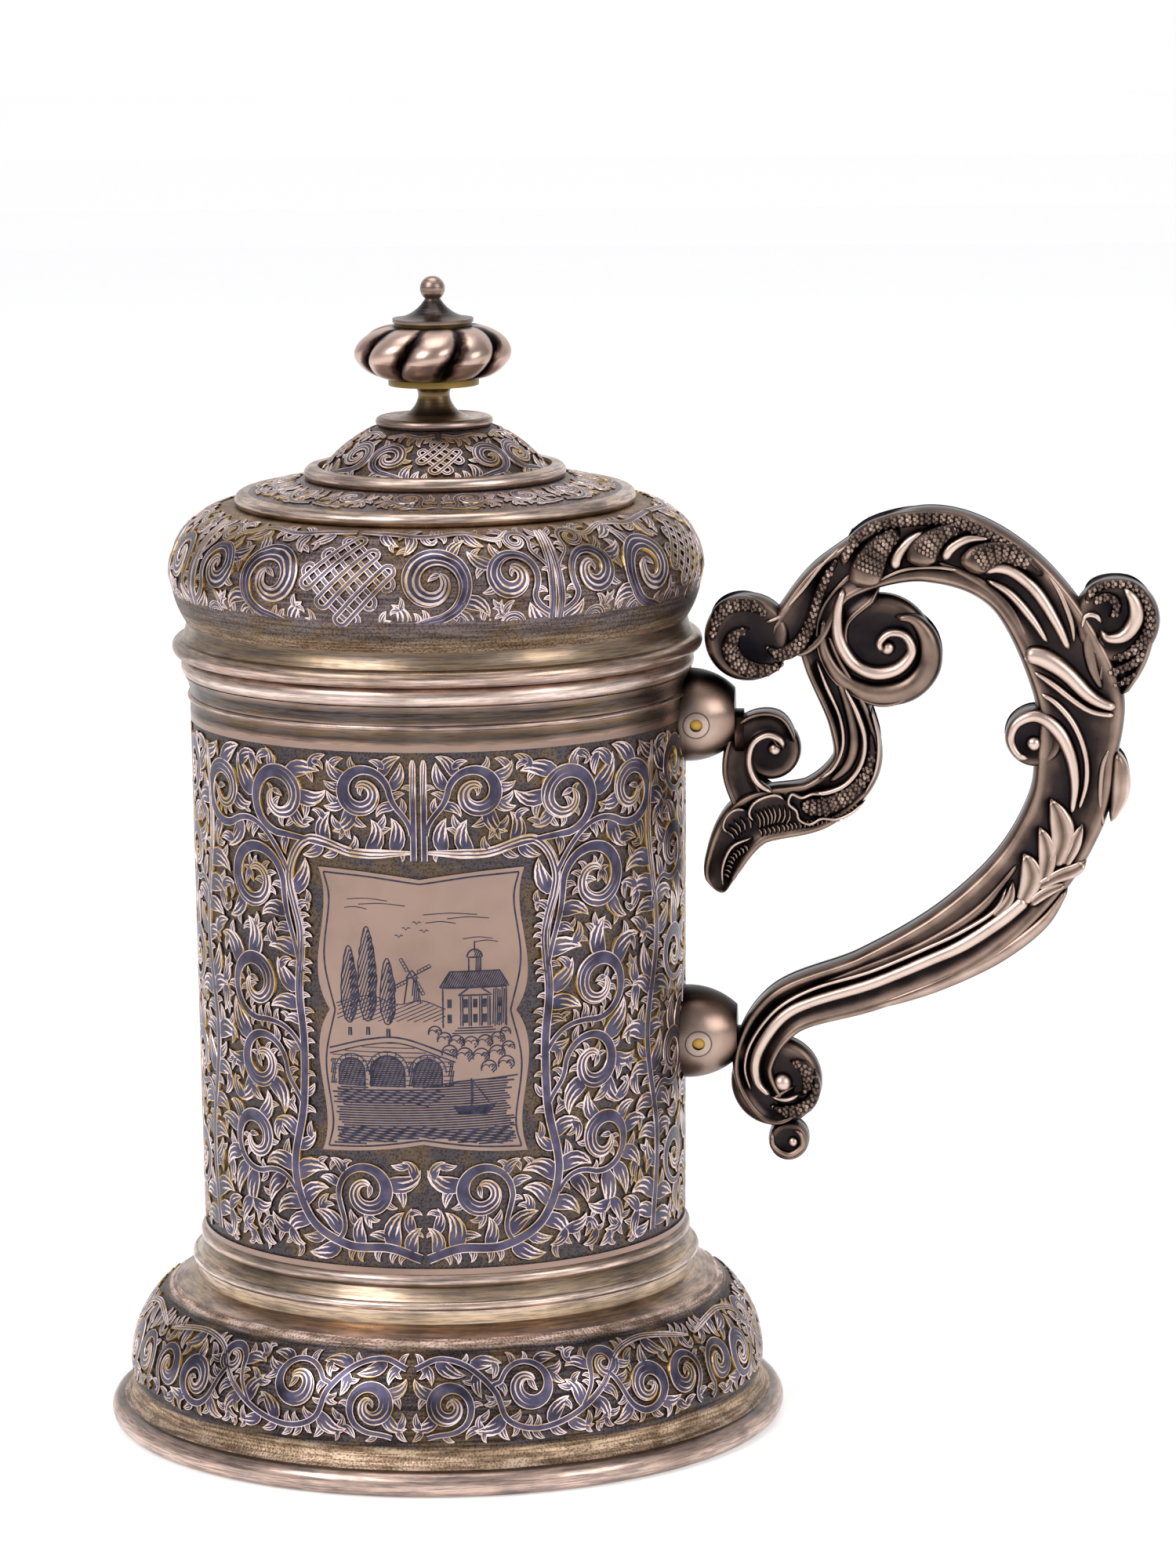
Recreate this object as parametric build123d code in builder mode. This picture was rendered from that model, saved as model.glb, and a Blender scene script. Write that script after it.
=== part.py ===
"""Lidded silver tankard: a drum on a spreading foot, a lift-off domed lid with a turned finial,
and a scrolled handle in two soldered halves, held by pins in two domed sockets.

Frame: millimetres, +Z up, origin at the centre of the circle that the foot stands on.
The handle points along +X, its seam lies in the plane Y = 0, and the cartouche faces -Y.
"""

from build123d import *
import math
import os

os.makedirs("parts", exist_ok=True)

# ---------------------------------------------------------------- driving dimensions
sheet = 1.0                  # raised sheet of the foot and the lid
ground_depth = 0.4           # of the chased ground on the drum, below its plain borders

# Drum
drum_radius = 42.15          # over the plain border at its foot
drum_flare = 0.75            # how much wider it is at its mouth
drum_wall = 1.5              # from the plain border to the bore
drum_field_height = 90.7     # the chased field
drum_neck_wall = 0.8         # of the thinner ends that the mouldings are soldered round
border_height = 1.0          # plain border above and below the field
floor_thickness = 1.2

# Cartouche, the plain reserve flush with the borders, on the front of the drum
cartouche_width = 34.8
cartouche_height = 48.8
cartouche_nip = 1.65         # how far the cusps run in at its waist, head and foot
cartouche_neck = 0.9         # how far its sides draw in below the corners
cartouche_neck_drop = 5.6    # of that place, below the corners
cartouche_cheek = 0.3        # how far its cheeks stand out beyond the corners
cartouche_cheek_height = 8.8  # of the cheeks, from its middle
cartouche_brow = 0.5         # how far its head sags between a corner and the cusp

# Foot
foot_wire_height = 4.5
foot_wire_width = 4.8
foot_projection = 16.95      # of the wire, beyond the drum
skirt_height = 20.2
skirt_projection = 13.0      # of its widest place, beyond the drum
skirt_waist_height = 6.0     # of that place, above the foot wire
skirt_cove_radius = 4.0
skirt_top_projection = 5.15

# Plinth moulding between the skirt and the drum
plinth_height = 9.9
plinth_torus_height = 2.3
plinth_torus_bulge = 0.75
plinth_ridge_projection = 2.25
plinth_ridge_height = 4.7    # of the ridge, above the skirt
plinth_ridge_roll = 0.8      # its radius

# Mouth moulding and lip
mouth_moulding_height = 6.75
mouth_bead_height = 3.1      # of the bead, above the foot of the moulding
mouth_bead_roll = 0.45
mouth_cove = 0.9             # how far the cove runs out under the lip
lip_height = 3.1
lip_projection = 1.5

# Lid
seat_gap = 0.25              # air between the worn seats of the lid and the lip
bezel_clearance = 0.25       # between the bezel and the drum's bore, all round
bezel_wall = 0.9
bezel_depth = 7.5
lid_lip_height = 3.0
lid_lip_overhang = 2.95      # beyond the drum's mouth
rim_cove_height = 2.85
bowl_foot_projection = 0.45
bowl_projection = 3.0        # of its widest place, beyond the drum's mouth
bowl_waist_height = 8.4      # of that place
bowl_height = 19.6
bowl_shoulder = 11.3         # radial run of the shoulder
crown_wire_height = 2.4
crown_wire_width = 2.4
terrace_rise = 2.0
dome_foot_radius = 20.2
dome_wire_height = 2.4
dome_wire_width = 2.4
dome_height = 9.0
wire_tuck = 0.6              # how far the foot of a lid wire lies inside its edge
wire_flat = 0.8              # flat top of a lid wire

# Finial, a threaded stud through turned pieces
stud_radius = 1.25
stud_depth = 5.0             # below the top of the dome
finial_foot_radius = 10.1
finial_foot_height = 7.1
finial_foot_roll = 0.85      # half the thickness of its edge
finial_neck_radius = 2.76
finial_neck_height = 4.85    # of its neck, above the dome
finial_cove_radius = 4.15    # to the hollow of its cove
finial_cove_height = 2.55    # of that place, above the dome
finial_head_radius = 3.8
lower_washer_radius = 7.8
lower_washer_thickness = 1.1
bulb_radius = 13.6
bulb_height = 9.0
bulb_seam_height = 3.4       # of the join between its two halves
bulb_eye_radius = 6.6        # where the lobes run in, above and below
bulb_lobes = 9
bulb_groove = 1.5            # depth between two lobes
bulb_groove_end = 0.6        # of that depth at the top and the bottom
bulb_twist = 22.0            # degrees, from bottom to top
upper_washer_radius = 6.7
upper_washer_thickness = 0.7
cap_radius = 6.95
cap_edge = 0.6               # thickness of its edge
cap_height = 7.85
cap_cove_height = 1.7        # of its cove, above its foot, at half its radius
cap_neck_radius = 1.3
ball_radius = 2.15
nut_width = 5.5              # across flats
nut_height = 2.4
nut_washer_radius = 4.2
nut_washer_thickness = 0.8

# Handle and its sockets
scroll_clearance = 0.35      # between the thumb scroll and the lid's lip
pin_to_scroll = 1.2          # from the pins' plane out to the thumb scroll
upper_pin_drop = 12.05       # of the upper pin, below the mouth
pin_spacing = 55.9
pin_radius = 1.05
socket_radius = 8.1
socket_rise = 0.8            # of the domes' axes, above their pins
socket_length = 6.5          # of the domes, beyond the pins
socket_tip_radius = 4.7
collar_radius = 4.0
collar_length = 1.5
tongue_thickness = 4.4
tongue_radius = 2.2          # of the eye round the pin
tenon_radius = 2.4
tenon_drop = 2.2             # of the tenon's axis, below the pin
tenon_grip = 1.6             # its length inside the handle
handle_depth = 5.2           # of its spine, from the seam
depth_step = 0.3             # by which each member lies below the one that it springs from
station_length = 1.0            # one unit of the handle's drawing below
strap_crown = 0.45           # flat crown of a strap, as a share of its width
strap_shoulder_width = 0.84  # of a strap across its shoulders, as a share of its width
strap_shoulder_height = 0.6  # of its shoulders, as a share of its depth
button_crown = 0.6           # flat crown of a button, as a share of its width
button_shoulder_height = 0.45  # of its shoulder, as a share of its depth

# ---------------------------------------------------------------- heights and radii that follow
skirt_z = foot_wire_height
plinth_z = skirt_z + skirt_height
field_z = plinth_z + plinth_height
moulding_z = field_z + drum_field_height
lip_z = moulding_z + mouth_moulding_height
mouth_z = lip_z + lip_height
seat_z = mouth_z + seat_gap
cove_z = seat_z + lid_lip_height
bowl_z = cove_z + rim_cove_height
crown_z = bowl_z + bowl_height
terrace_z = crown_z + crown_wire_height
dome_z = terrace_z + terrace_rise
finial_z = dome_z + dome_height
lower_washer_z = finial_z + finial_foot_height
bulb_z = lower_washer_z + lower_washer_thickness
bulb_seam_z = bulb_z + bulb_seam_height
upper_washer_z = bulb_z + bulb_height
cap_z = upper_washer_z + upper_washer_thickness

mouth_radius = drum_radius + drum_flare
foot_bore_radius = drum_radius - drum_wall
mouth_bore_radius = mouth_radius - drum_wall
foot_neck_radius = foot_bore_radius + drum_neck_wall
mouth_neck_radius = mouth_bore_radius + drum_neck_wall
bezel_radius = mouth_bore_radius - bezel_clearance
lid_lip_radius = mouth_radius + lid_lip_overhang
bowl_foot_radius = mouth_radius + bowl_foot_projection
bowl_radius = mouth_radius + bowl_projection
crown_radius = bowl_radius - bowl_shoulder

pins_x = lid_lip_radius + scroll_clearance - pin_to_scroll
upper_pin_z = mouth_z - upper_pin_drop
lower_pin_z = upper_pin_z - pin_spacing
socket_tip_x = pins_x + socket_length
collar_x = socket_tip_x + collar_length


def finished(builder, label):
    """Names a piece and writes it to its own STEP file."""
    builder.part.label = label
    export_step(builder.part, f"parts/{label}.step")


def bulge(start, end, radius):
    """The point halfway along an arc of this radius, bowed away from the axis and upwards."""
    run = end[0] - start[0]
    rise = end[1] - start[1]
    chord = math.hypot(run, rise)
    sag = radius - math.sqrt(radius**2 - chord**2 / 4)
    middle_x = (start[0] + end[0]) / 2 + sag * rise / chord
    middle_z = (start[1] + end[1]) / 2 - sag * run / chord
    return middle_x, middle_z


# ---------------------------------------------------------------- foot
# Foot wire: a heavy half-round wire with a flat sole, which the whole tankard stands on.
foot_radius = drum_radius + foot_projection
foot_roll = foot_wire_height / 2
foot_flat_radius = foot_radius - foot_roll
foot_inner_radius = foot_radius - foot_wire_width
with BuildPart() as foot_wire:
    with BuildSketch(Plane.XZ):
        with BuildLine():
            Line((foot_inner_radius, 0), (foot_flat_radius, 0))
            ThreePointArc(
                (foot_flat_radius, 0),
                (foot_radius, foot_roll),
                (foot_flat_radius, foot_wire_height),
            )
            Polyline(
                (foot_flat_radius, foot_wire_height),
                (foot_inner_radius, foot_wire_height),
                (foot_inner_radius, 0),
            )
        make_face()
    revolve(axis=Axis.Z)
finished(foot_wire, "foot_wire")

# Foot skirt: raised from sheet, with a flange for the drum, a bulge, and a cove that runs out
# onto the flat of the wire.
skirt_radius = drum_radius + skirt_projection
skirt_top_radius = drum_radius + skirt_top_projection
skirt_waist_z = skirt_z + skirt_waist_height
skirt_rise = plinth_z - skirt_waist_z
skirt_run = skirt_radius - skirt_top_radius
skirt_curve = (skirt_run**2 + skirt_rise**2) / (2 * skirt_run)
cove_run = foot_flat_radius - skirt_radius
cove_turn = math.acos(1 - cove_run / skirt_cove_radius)
cove_top_z = skirt_z + skirt_cove_radius * math.sin(cove_turn)
with BuildPart() as foot_skirt:
    with BuildSketch(Plane.XZ):
        with BuildLine() as skirt_line:
            flange = (skirt_top_radius, plinth_z)
            waist = (skirt_radius, skirt_waist_z)
            Line((foot_bore_radius, plinth_z), flange)
            ThreePointArc(flange, bulge(waist, flange, skirt_curve), waist)
            Line(waist, (skirt_radius, cove_top_z))
            CenterArc(
                (skirt_radius + skirt_cove_radius, cove_top_z),
                skirt_cove_radius,
                180,
                math.degrees(cove_turn),
            )
            offset(amount=sheet, side=Side.RIGHT)
        make_face()
    revolve(axis=Axis.Z)
    split(bisect_by=Plane.XY.offset(skirt_z), keep=Keep.TOP)
finished(foot_skirt, "foot_skirt")

# Plinth moulding: a cast ring with a torus, a ridge and a cove, round the drum's foot.
ridge_z = plinth_z + plinth_ridge_height
torus_z = field_z - plinth_torus_height
ridge_radius = drum_radius + plinth_ridge_projection
ridge_face = ridge_radius - plinth_ridge_roll
with BuildPart() as plinth_moulding:
    with BuildSketch(Plane.XZ):
        with BuildLine():
            Polyline(
                (ridge_face, ridge_z - plinth_ridge_roll),
                (ridge_face, plinth_z + plinth_ridge_roll * 2),
                (skirt_top_radius, plinth_z),
                (foot_neck_radius, plinth_z),
                (foot_neck_radius, field_z),
                (drum_radius, field_z),
            )
            ThreePointArc(
                (drum_radius, field_z),
                (drum_radius + plinth_torus_bulge, (field_z + torus_z) / 2),
                (drum_radius, torus_z),
            )
            Line((drum_radius, torus_z), (ridge_face, ridge_z + plinth_ridge_roll))
            ThreePointArc(
                (ridge_face, ridge_z + plinth_ridge_roll),
                (ridge_radius, ridge_z),
                (ridge_face, ridge_z - plinth_ridge_roll),
            )
        make_face()
    revolve(axis=Axis.Z)
finished(plinth_moulding, "plinth_moulding")

# ---------------------------------------------------------------- drum
# Drum: the body, slightly wider at the mouth. Its chased field lies below plain borders,
# with one plain reserve, and its thinner ends carry the mouldings.
field_foot_z = field_z + border_height
field_head_z = moulding_z - border_height
flare_per_mm = drum_flare / drum_field_height


def drum_face(z):
    """Radius over the drum's plain borders at this height."""
    return drum_radius + flare_per_mm * (z - field_z)


with BuildPart() as drum_blank:
    with BuildSketch(Plane.XZ):
        with BuildLine():
            Polyline(
                (foot_bore_radius, plinth_z),
                (foot_neck_radius, plinth_z),
                (foot_neck_radius, field_z),
                (drum_radius, field_z),
                (mouth_radius, moulding_z),
                (mouth_neck_radius, moulding_z),
                (mouth_neck_radius, mouth_z),
                (mouth_bore_radius, mouth_z),
                (mouth_bore_radius, moulding_z),
                (foot_bore_radius, field_z),
                close=True,
            )
        make_face()
    revolve(axis=Axis.Z)

cartouche_z = (field_z + moulding_z) / 2
front = Plane((0, -drum_radius / 2, cartouche_z), x_dir=(1, 0, 0), z_dir=(0, -1, 0))
with BuildPart() as reserve:
    with BuildSketch(front):
        with BuildLine():
            corner = (cartouche_width / 2, cartouche_height / 2)
            Spline(
                corner,
                (cartouche_width / 2 - cartouche_neck, cartouche_height / 2 - cartouche_neck_drop),
                (cartouche_width / 2 + cartouche_cheek, cartouche_cheek_height),
                (cartouche_width / 2 - cartouche_nip, 0),
            )
            ThreePointArc(
                corner,
                (cartouche_width / 4, cartouche_height / 2 - cartouche_brow),
                (0, cartouche_height / 2 - cartouche_nip),
            )
            mirror(about=Plane.XZ)
            mirror(about=Plane.YZ)
        make_face()
    extrude(amount=drum_radius)
    add(drum_blank.part, mode=Mode.INTERSECT)

with BuildPart() as drum:
    add(drum_blank.part)
    with BuildSketch(Plane.XZ):
        with BuildLine():
            field_foot = drum_face(field_foot_z)
            field_head = drum_face(field_head_z)
            Polyline(
                (field_foot - ground_depth, field_foot_z),
                (field_foot + sheet, field_foot_z),
                (field_head + sheet, field_head_z),
                (field_head - ground_depth, field_head_z),
                close=True,
            )
        make_face()
    revolve(axis=Axis.Z, mode=Mode.SUBTRACT)
    add(reserve.part)
finished(drum, "drum")

# Drum floor: a disc soldered inside the foot of the drum.
with BuildPart() as drum_floor:
    with BuildSketch(Plane.XY.offset(plinth_z)):
        Circle(foot_bore_radius)
    extrude(amount=floor_thickness)
finished(drum_floor, "drum_floor")

# Mouth moulding: a plain fillet, a thin bead and a cove that runs out under the lip.
bead_z = moulding_z + mouth_bead_height
bead_radius = mouth_radius + mouth_bead_roll
with BuildPart() as mouth_moulding:
    with BuildSketch(Plane.XZ):
        with BuildLine():
            Polyline(
                (mouth_radius, bead_z - mouth_bead_roll),
                (mouth_radius, moulding_z),
                (mouth_neck_radius, moulding_z),
                (mouth_neck_radius, lip_z),
                (mouth_radius + mouth_cove, lip_z),
            )
            ThreePointArc(
                (mouth_radius + mouth_cove, lip_z),
                (mouth_radius + mouth_cove / 4, (bead_z + mouth_bead_roll + lip_z) / 2),
                (mouth_radius, bead_z + mouth_bead_roll),
            )
            ThreePointArc(
                (mouth_radius, bead_z + mouth_bead_roll),
                (bead_radius, bead_z),
                (mouth_radius, bead_z - mouth_bead_roll),
            )
        make_face()
    revolve(axis=Axis.Z)
finished(mouth_moulding, "mouth_moulding")

# Mouth lip: a half-round ring that stiffens the mouth and carries the lid.
lip_roll = lip_height / 2
lip_radius = mouth_radius + lip_projection
lip_flat_radius = lip_radius - lip_roll / 2
with BuildPart() as mouth_lip:
    with BuildSketch(Plane.XZ):
        with BuildLine():
            ThreePointArc(
                (lip_flat_radius, lip_z),
                (lip_radius, lip_z + lip_roll),
                (lip_flat_radius, mouth_z),
            )
            Polyline(
                (lip_flat_radius, mouth_z),
                (mouth_neck_radius, mouth_z),
                (mouth_neck_radius, lip_z),
                (lip_flat_radius, lip_z),
            )
        make_face()
    revolve(axis=Axis.Z)
finished(mouth_lip, "mouth_lip")

# ---------------------------------------------------------------- lid
# Lid bezel: the tube that drops into the drum's mouth and keeps the lid in place.
with BuildPart() as lid_bezel:
    with BuildSketch(Plane.XY.offset(mouth_z - bezel_depth)):
        Circle(bezel_radius)
        Circle(bezel_radius - bezel_wall, mode=Mode.SUBTRACT)
    extrude(amount=bowl_z - mouth_z + bezel_depth)
finished(lid_bezel, "lid_bezel")

# Lid rim: a half-round lip under a gilt cove, soldered round the bezel.
lid_roll = lid_lip_height / 2
lid_flat_radius = lid_lip_radius - lid_roll
with BuildPart() as lid_rim:
    with BuildSketch(Plane.XZ):
        with BuildLine():
            ThreePointArc(
                (lid_flat_radius, seat_z),
                (lid_lip_radius, seat_z + lid_roll),
                (lid_flat_radius, cove_z),
            )
            ThreePointArc(
                (lid_flat_radius, cove_z),
                (bowl_foot_radius + (lid_flat_radius - bowl_foot_radius) / 4, (cove_z + bowl_z) / 2),
                (bowl_foot_radius, bowl_z),
            )
            Polyline(
                (bowl_foot_radius, bowl_z),
                (bezel_radius, bowl_z),
                (bezel_radius, seat_z),
                (lid_flat_radius, seat_z),
            )
        make_face()
    revolve(axis=Axis.Z)
finished(lid_rim, "lid_rim")

# Lid bowl: raised from sheet, a swelling side that turns over a round shoulder to a flat crown.
bowl_waist_z = bowl_z + bowl_waist_height
bowl_swell = bowl_radius - bowl_foot_radius
bowl_curve = (bowl_swell**2 + bowl_waist_height**2) / (2 * bowl_swell)
crown_inner_radius = crown_radius - crown_wire_width - 2 * sheet


def bowl_outline(depth):
    """The bowl's outline, this far inside its outer face, from the foot to the crown."""
    foot = (bowl_foot_radius - depth, bowl_z)
    waist = (bowl_radius - depth, bowl_waist_z)
    crown = (crown_radius, crown_z - depth)
    shoulder = (
        crown_radius + (bowl_shoulder - depth) * math.sqrt(0.5),
        bowl_waist_z + (crown_z - bowl_waist_z - depth) * math.sqrt(0.5),
    )
    ThreePointArc(foot, bulge(foot, waist, bowl_curve), waist)
    ThreePointArc(waist, shoulder, crown)
    Line(crown, (crown_inner_radius, crown_z - depth))


with BuildPart() as lid_bowl:
    with BuildSketch(Plane.XZ):
        with BuildLine():
            bowl_outline(0)
            bowl_outline(sheet)
            Line((crown_inner_radius, crown_z - sheet), (crown_inner_radius, crown_z))
            Line((bowl_foot_radius - sheet, bowl_z), (bowl_foot_radius, bowl_z))
        make_face()
    revolve(axis=Axis.Z)
finished(lid_bowl, "lid_bowl")

# Crown wire: a half-round ring on the flat of the bowl, round the terrace.
crown_wire_inner = crown_radius - crown_wire_width


def wire_ring(inner_radius, foot_z, width, height):
    """A ring with a flat foot and a flat inner face, rounded over its outer top."""
    with BuildPart() as ring:
        with BuildSketch(Plane.XZ):
            with BuildLine():
                edge = inner_radius + width
                Polyline(
                    (inner_radius, foot_z + height),
                    (inner_radius, foot_z),
                    (edge - wire_tuck, foot_z),
                )
                ThreePointArc(
                    (edge - wire_tuck, foot_z),
                    (edge - wire_tuck / 3, foot_z + height * 3 / 4),
                    (inner_radius + wire_flat, foot_z + height),
                )
                Line(
                    (inner_radius + wire_flat, foot_z + height),
                    (inner_radius, foot_z + height),
                )
            make_face()
        revolve(axis=Axis.Z)
    return ring


crown_wire = wire_ring(crown_wire_inner, crown_z, crown_wire_width, crown_wire_height)
finished(crown_wire, "crown_wire")

# Lid terrace: a shallow cone of sheet, turned down inside the crown wire.
dome_wire_edge = dome_foot_radius + dome_wire_width
with BuildPart() as lid_terrace:
    with BuildSketch(Plane.XZ):
        with BuildLine():
            Polyline(
                (crown_wire_inner, crown_z),
                (crown_wire_inner, terrace_z),
                (dome_wire_edge, dome_z),
                (dome_foot_radius - sheet, dome_z),
            )
            offset(amount=sheet, side=Side.LEFT)
        make_face()
    revolve(axis=Axis.Z)
finished(lid_terrace, "lid_terrace")

# Dome wire: a smaller ring round the foot of the dome.
dome_wire = wire_ring(dome_foot_radius, dome_z, dome_wire_width, dome_wire_height)
finished(dome_wire, "dome_wire")

# Lid dome: a slice of a hollow sphere, with a flat top that is drilled for the finial's stud.
dome_top_radius = finial_foot_radius - finial_foot_roll / 2
dome_span = (dome_foot_radius**2 - dome_top_radius**2) / dome_height
dome_centre_z = dome_z + (dome_height - dome_span) / 2
dome_radius = math.hypot(dome_foot_radius, dome_z - dome_centre_z)


def dome_outline(depth):
    """The dome's outline, this far inside its outer face, from the foot to the stud's hole."""
    radius = dome_radius - depth
    low = math.asin((dome_z - dome_centre_z) / radius)
    high = math.asin((finial_z - depth - dome_centre_z) / radius)
    CenterArc((0, dome_centre_z), radius, math.degrees(low), math.degrees(high - low))
    Line((radius * math.cos(high), finial_z - depth), (stud_radius, finial_z - depth))


with BuildPart() as lid_dome:
    with BuildSketch(Plane.XZ):
        with BuildLine():
            dome_outline(0)
            dome_outline(sheet)
            inner_foot = math.sqrt((dome_radius - sheet)**2 - (dome_z - dome_centre_z)**2)
            Line((inner_foot, dome_z), (dome_foot_radius, dome_z))
            Line((stud_radius, finial_z - sheet), (stud_radius, finial_z))
        make_face()
    revolve(axis=Axis.Z)
finished(lid_dome, "lid_dome")

# ---------------------------------------------------------------- finial
# Finial foot: a turned baluster with a rolled edge, bored for the stud.
foot_roll_radius = finial_foot_radius - finial_foot_roll
foot_roll_top = finial_z + 2 * finial_foot_roll
finial_neck_z = finial_z + finial_neck_height
with BuildPart() as finial_foot:
    with BuildSketch(Plane.XZ):
        with BuildLine():
            Polyline(
                (stud_radius, lower_washer_z),
                (stud_radius, finial_z),
                (foot_roll_radius, finial_z),
            )
            ThreePointArc(
                (foot_roll_radius, finial_z),
                (finial_foot_radius, finial_z + finial_foot_roll),
                (foot_roll_radius, foot_roll_top),
            )
            cove = ThreePointArc(
                (foot_roll_radius, foot_roll_top),
                (finial_cove_radius, finial_z + finial_cove_height),
                (finial_neck_radius, finial_neck_z),
            )
            TangentArc(cove @ 1, (finial_head_radius, lower_washer_z), tangent=cove % 1)
            Line((finial_head_radius, lower_washer_z), (stud_radius, lower_washer_z))
        make_face()
    revolve(axis=Axis.Z)
finished(finial_foot, "finial_foot")


def washer(outer_radius, foot_z, thickness):
    """A plain washer round the stud."""
    with BuildPart() as ring:
        with BuildSketch(Plane.XY.offset(foot_z)):
            Circle(outer_radius)
            Circle(stud_radius, mode=Mode.SUBTRACT)
        extrude(amount=thickness)
    return ring


lower_washer = washer(lower_washer_radius, lower_washer_z, lower_washer_thickness)
finished(lower_washer, "finial_lower_washer")


def lobed_level(share):
    """Closes one level of the finial's bulb: a ring of round lobes between sharp grooves.

    share is the height above the bulb's foot, from 0 to 1. The bulb swells as half an ellipse,
    its grooves are deepest where it is widest, and the lobes turn with the height.
    """
    swell = math.sqrt(1 - (2 * share - 1) ** 2)
    crest = bulb_eye_radius + (bulb_radius - bulb_eye_radius) * swell
    groove = crest - bulb_groove_end - (bulb_groove - bulb_groove_end) * swell
    for lobe in range(bulb_lobes):
        start = bulb_twist * share + 360 / bulb_lobes * lobe
        ends = [start, start + 360 / bulb_lobes]
        middle = start + 180 / bulb_lobes
        ThreePointArc(
            Vector(groove, 0).rotate(Axis.Z, ends[0]),
            Vector(crest, 0).rotate(Axis.Z, middle),
            Vector(groove, 0).rotate(Axis.Z, ends[1]),
        )


def bulb_part(shares):
    """The stretch of the bulb through these levels, bored for the stud and faced flat."""
    with BuildPart() as piece:
        for share in shares:
            with BuildSketch(Plane.XY.offset(bulb_z + bulb_height * share)):
                with BuildLine():
                    lobed_level(share)
                make_face()
        loft()
        with BuildSketch(Plane.XY.offset(bulb_z + bulb_height * shares[0])):
            Circle(bulb_radius * 2)
            Circle(stud_radius, mode=Mode.SUBTRACT)
        extrude(amount=bulb_height * (shares[-1] - shares[0]), mode=Mode.INTERSECT)
    return piece


seam_share = bulb_seam_height / bulb_height
bulb_lower = bulb_part([0, seam_share / 3, seam_share])
finished(bulb_lower, "finial_bulb_lower")
upper_share = 1 - seam_share
bulb_upper = bulb_part([seam_share, seam_share + upper_share / 3, 1 - upper_share / 6, 1])
finished(bulb_upper, "finial_bulb_upper")

upper_washer = washer(upper_washer_radius, upper_washer_z, upper_washer_thickness)
finished(upper_washer, "finial_upper_washer")

# Finial cap: a flared collar that draws in to a thin neck under a ball.
top_z = cap_z + cap_height
ball_z = top_z - ball_radius
cap_neck_z = ball_z - math.sqrt(ball_radius**2 - cap_neck_radius**2)
stud_top_z = cap_z + (cap_neck_z - cap_z) / 2
with BuildPart() as finial_cap:
    with BuildSketch(Plane.XZ):
        with BuildLine():
            Polyline(
                (0, top_z),
                (0, stud_top_z),
                (stud_radius, stud_top_z),
                (stud_radius, cap_z),
                (cap_radius, cap_z),
                (cap_radius, cap_z + cap_edge),
            )
            ThreePointArc(
                (cap_radius, cap_z + cap_edge),
                (cap_radius / 2, cap_z + cap_cove_height),
                (cap_neck_radius, cap_neck_z),
            )
            ThreePointArc((cap_neck_radius, cap_neck_z), (ball_radius, ball_z), (0, top_z))
        make_face()
    revolve(axis=Axis.Z)
finished(finial_cap, "finial_cap")

# Finial stud: the threaded rod that draws the whole finial down onto the dome.
with BuildPart() as finial_stud:
    with BuildSketch(Plane.XY.offset(finial_z - stud_depth)):
        Circle(stud_radius)
    extrude(amount=stud_top_z - finial_z + stud_depth)
finished(finial_stud, "finial_stud")

nut_washer_z = finial_z - sheet - nut_washer_thickness
nut_washer = washer(nut_washer_radius, nut_washer_z, nut_washer_thickness)
finished(nut_washer, "finial_nut_washer")

with BuildPart() as finial_nut:
    with BuildSketch(Plane.XY.offset(nut_washer_z - nut_height)):
        RegularPolygon(nut_width / 2, 6, major_radius=False)
        Circle(stud_radius, mode=Mode.SUBTRACT)
    extrude(amount=nut_height)
finished(finial_nut, "finial_nut")

# ---------------------------------------------------------------- sockets and pins
# The drum with its mouth mouldings, filled in, as the seat that the sockets are fitted to.
with BuildPart() as cup_core:
    add(drum.part)
    add(mouth_moulding.part)
    add(mouth_lip.part)
    with BuildSketch(Plane.XY.offset(field_z)):
        Circle(foot_bore_radius + ground_depth)
    with BuildSketch(Plane.XY.offset(mouth_z)):
        Circle(mouth_bore_radius + ground_depth)
    loft()


def tongue_part(pin_z):
    """The flat tongue round a pin and the round tenon that leads from it into the handle."""
    tenon_z = pin_z - tenon_drop
    with BuildPart() as tongue:
        with BuildSketch(Plane.XZ.offset(-tongue_thickness / 2)):
            with Locations((pins_x, pin_z)):
                Circle(tongue_radius)
            with BuildLine():
                Polyline(
                    (pins_x, pin_z + tongue_radius),
                    (pins_x - tongue_radius, pin_z),
                    (pins_x, tenon_z - tenon_radius),
                    (socket_tip_x - tongue_radius, tenon_z - tenon_radius),
                    (socket_tip_x - tongue_radius, tenon_z + tenon_radius),
                    close=True,
                )
            make_face()
        extrude(amount=tongue_thickness)
        with BuildSketch(Plane.YZ.offset(pins_x + tongue_radius)):
            with Locations((0, tenon_z)):
                Circle(tenon_radius)
        extrude(amount=collar_x + tenon_grip - pins_x - tongue_radius)
        with BuildSketch(Plane.XZ.offset(-tongue_thickness)):
            with Locations((pins_x, pin_z)):
                Circle(pin_radius)
        extrude(amount=2 * tongue_thickness, mode=Mode.SUBTRACT)
        add(cup_core.part, mode=Mode.SUBTRACT)
    return tongue


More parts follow.
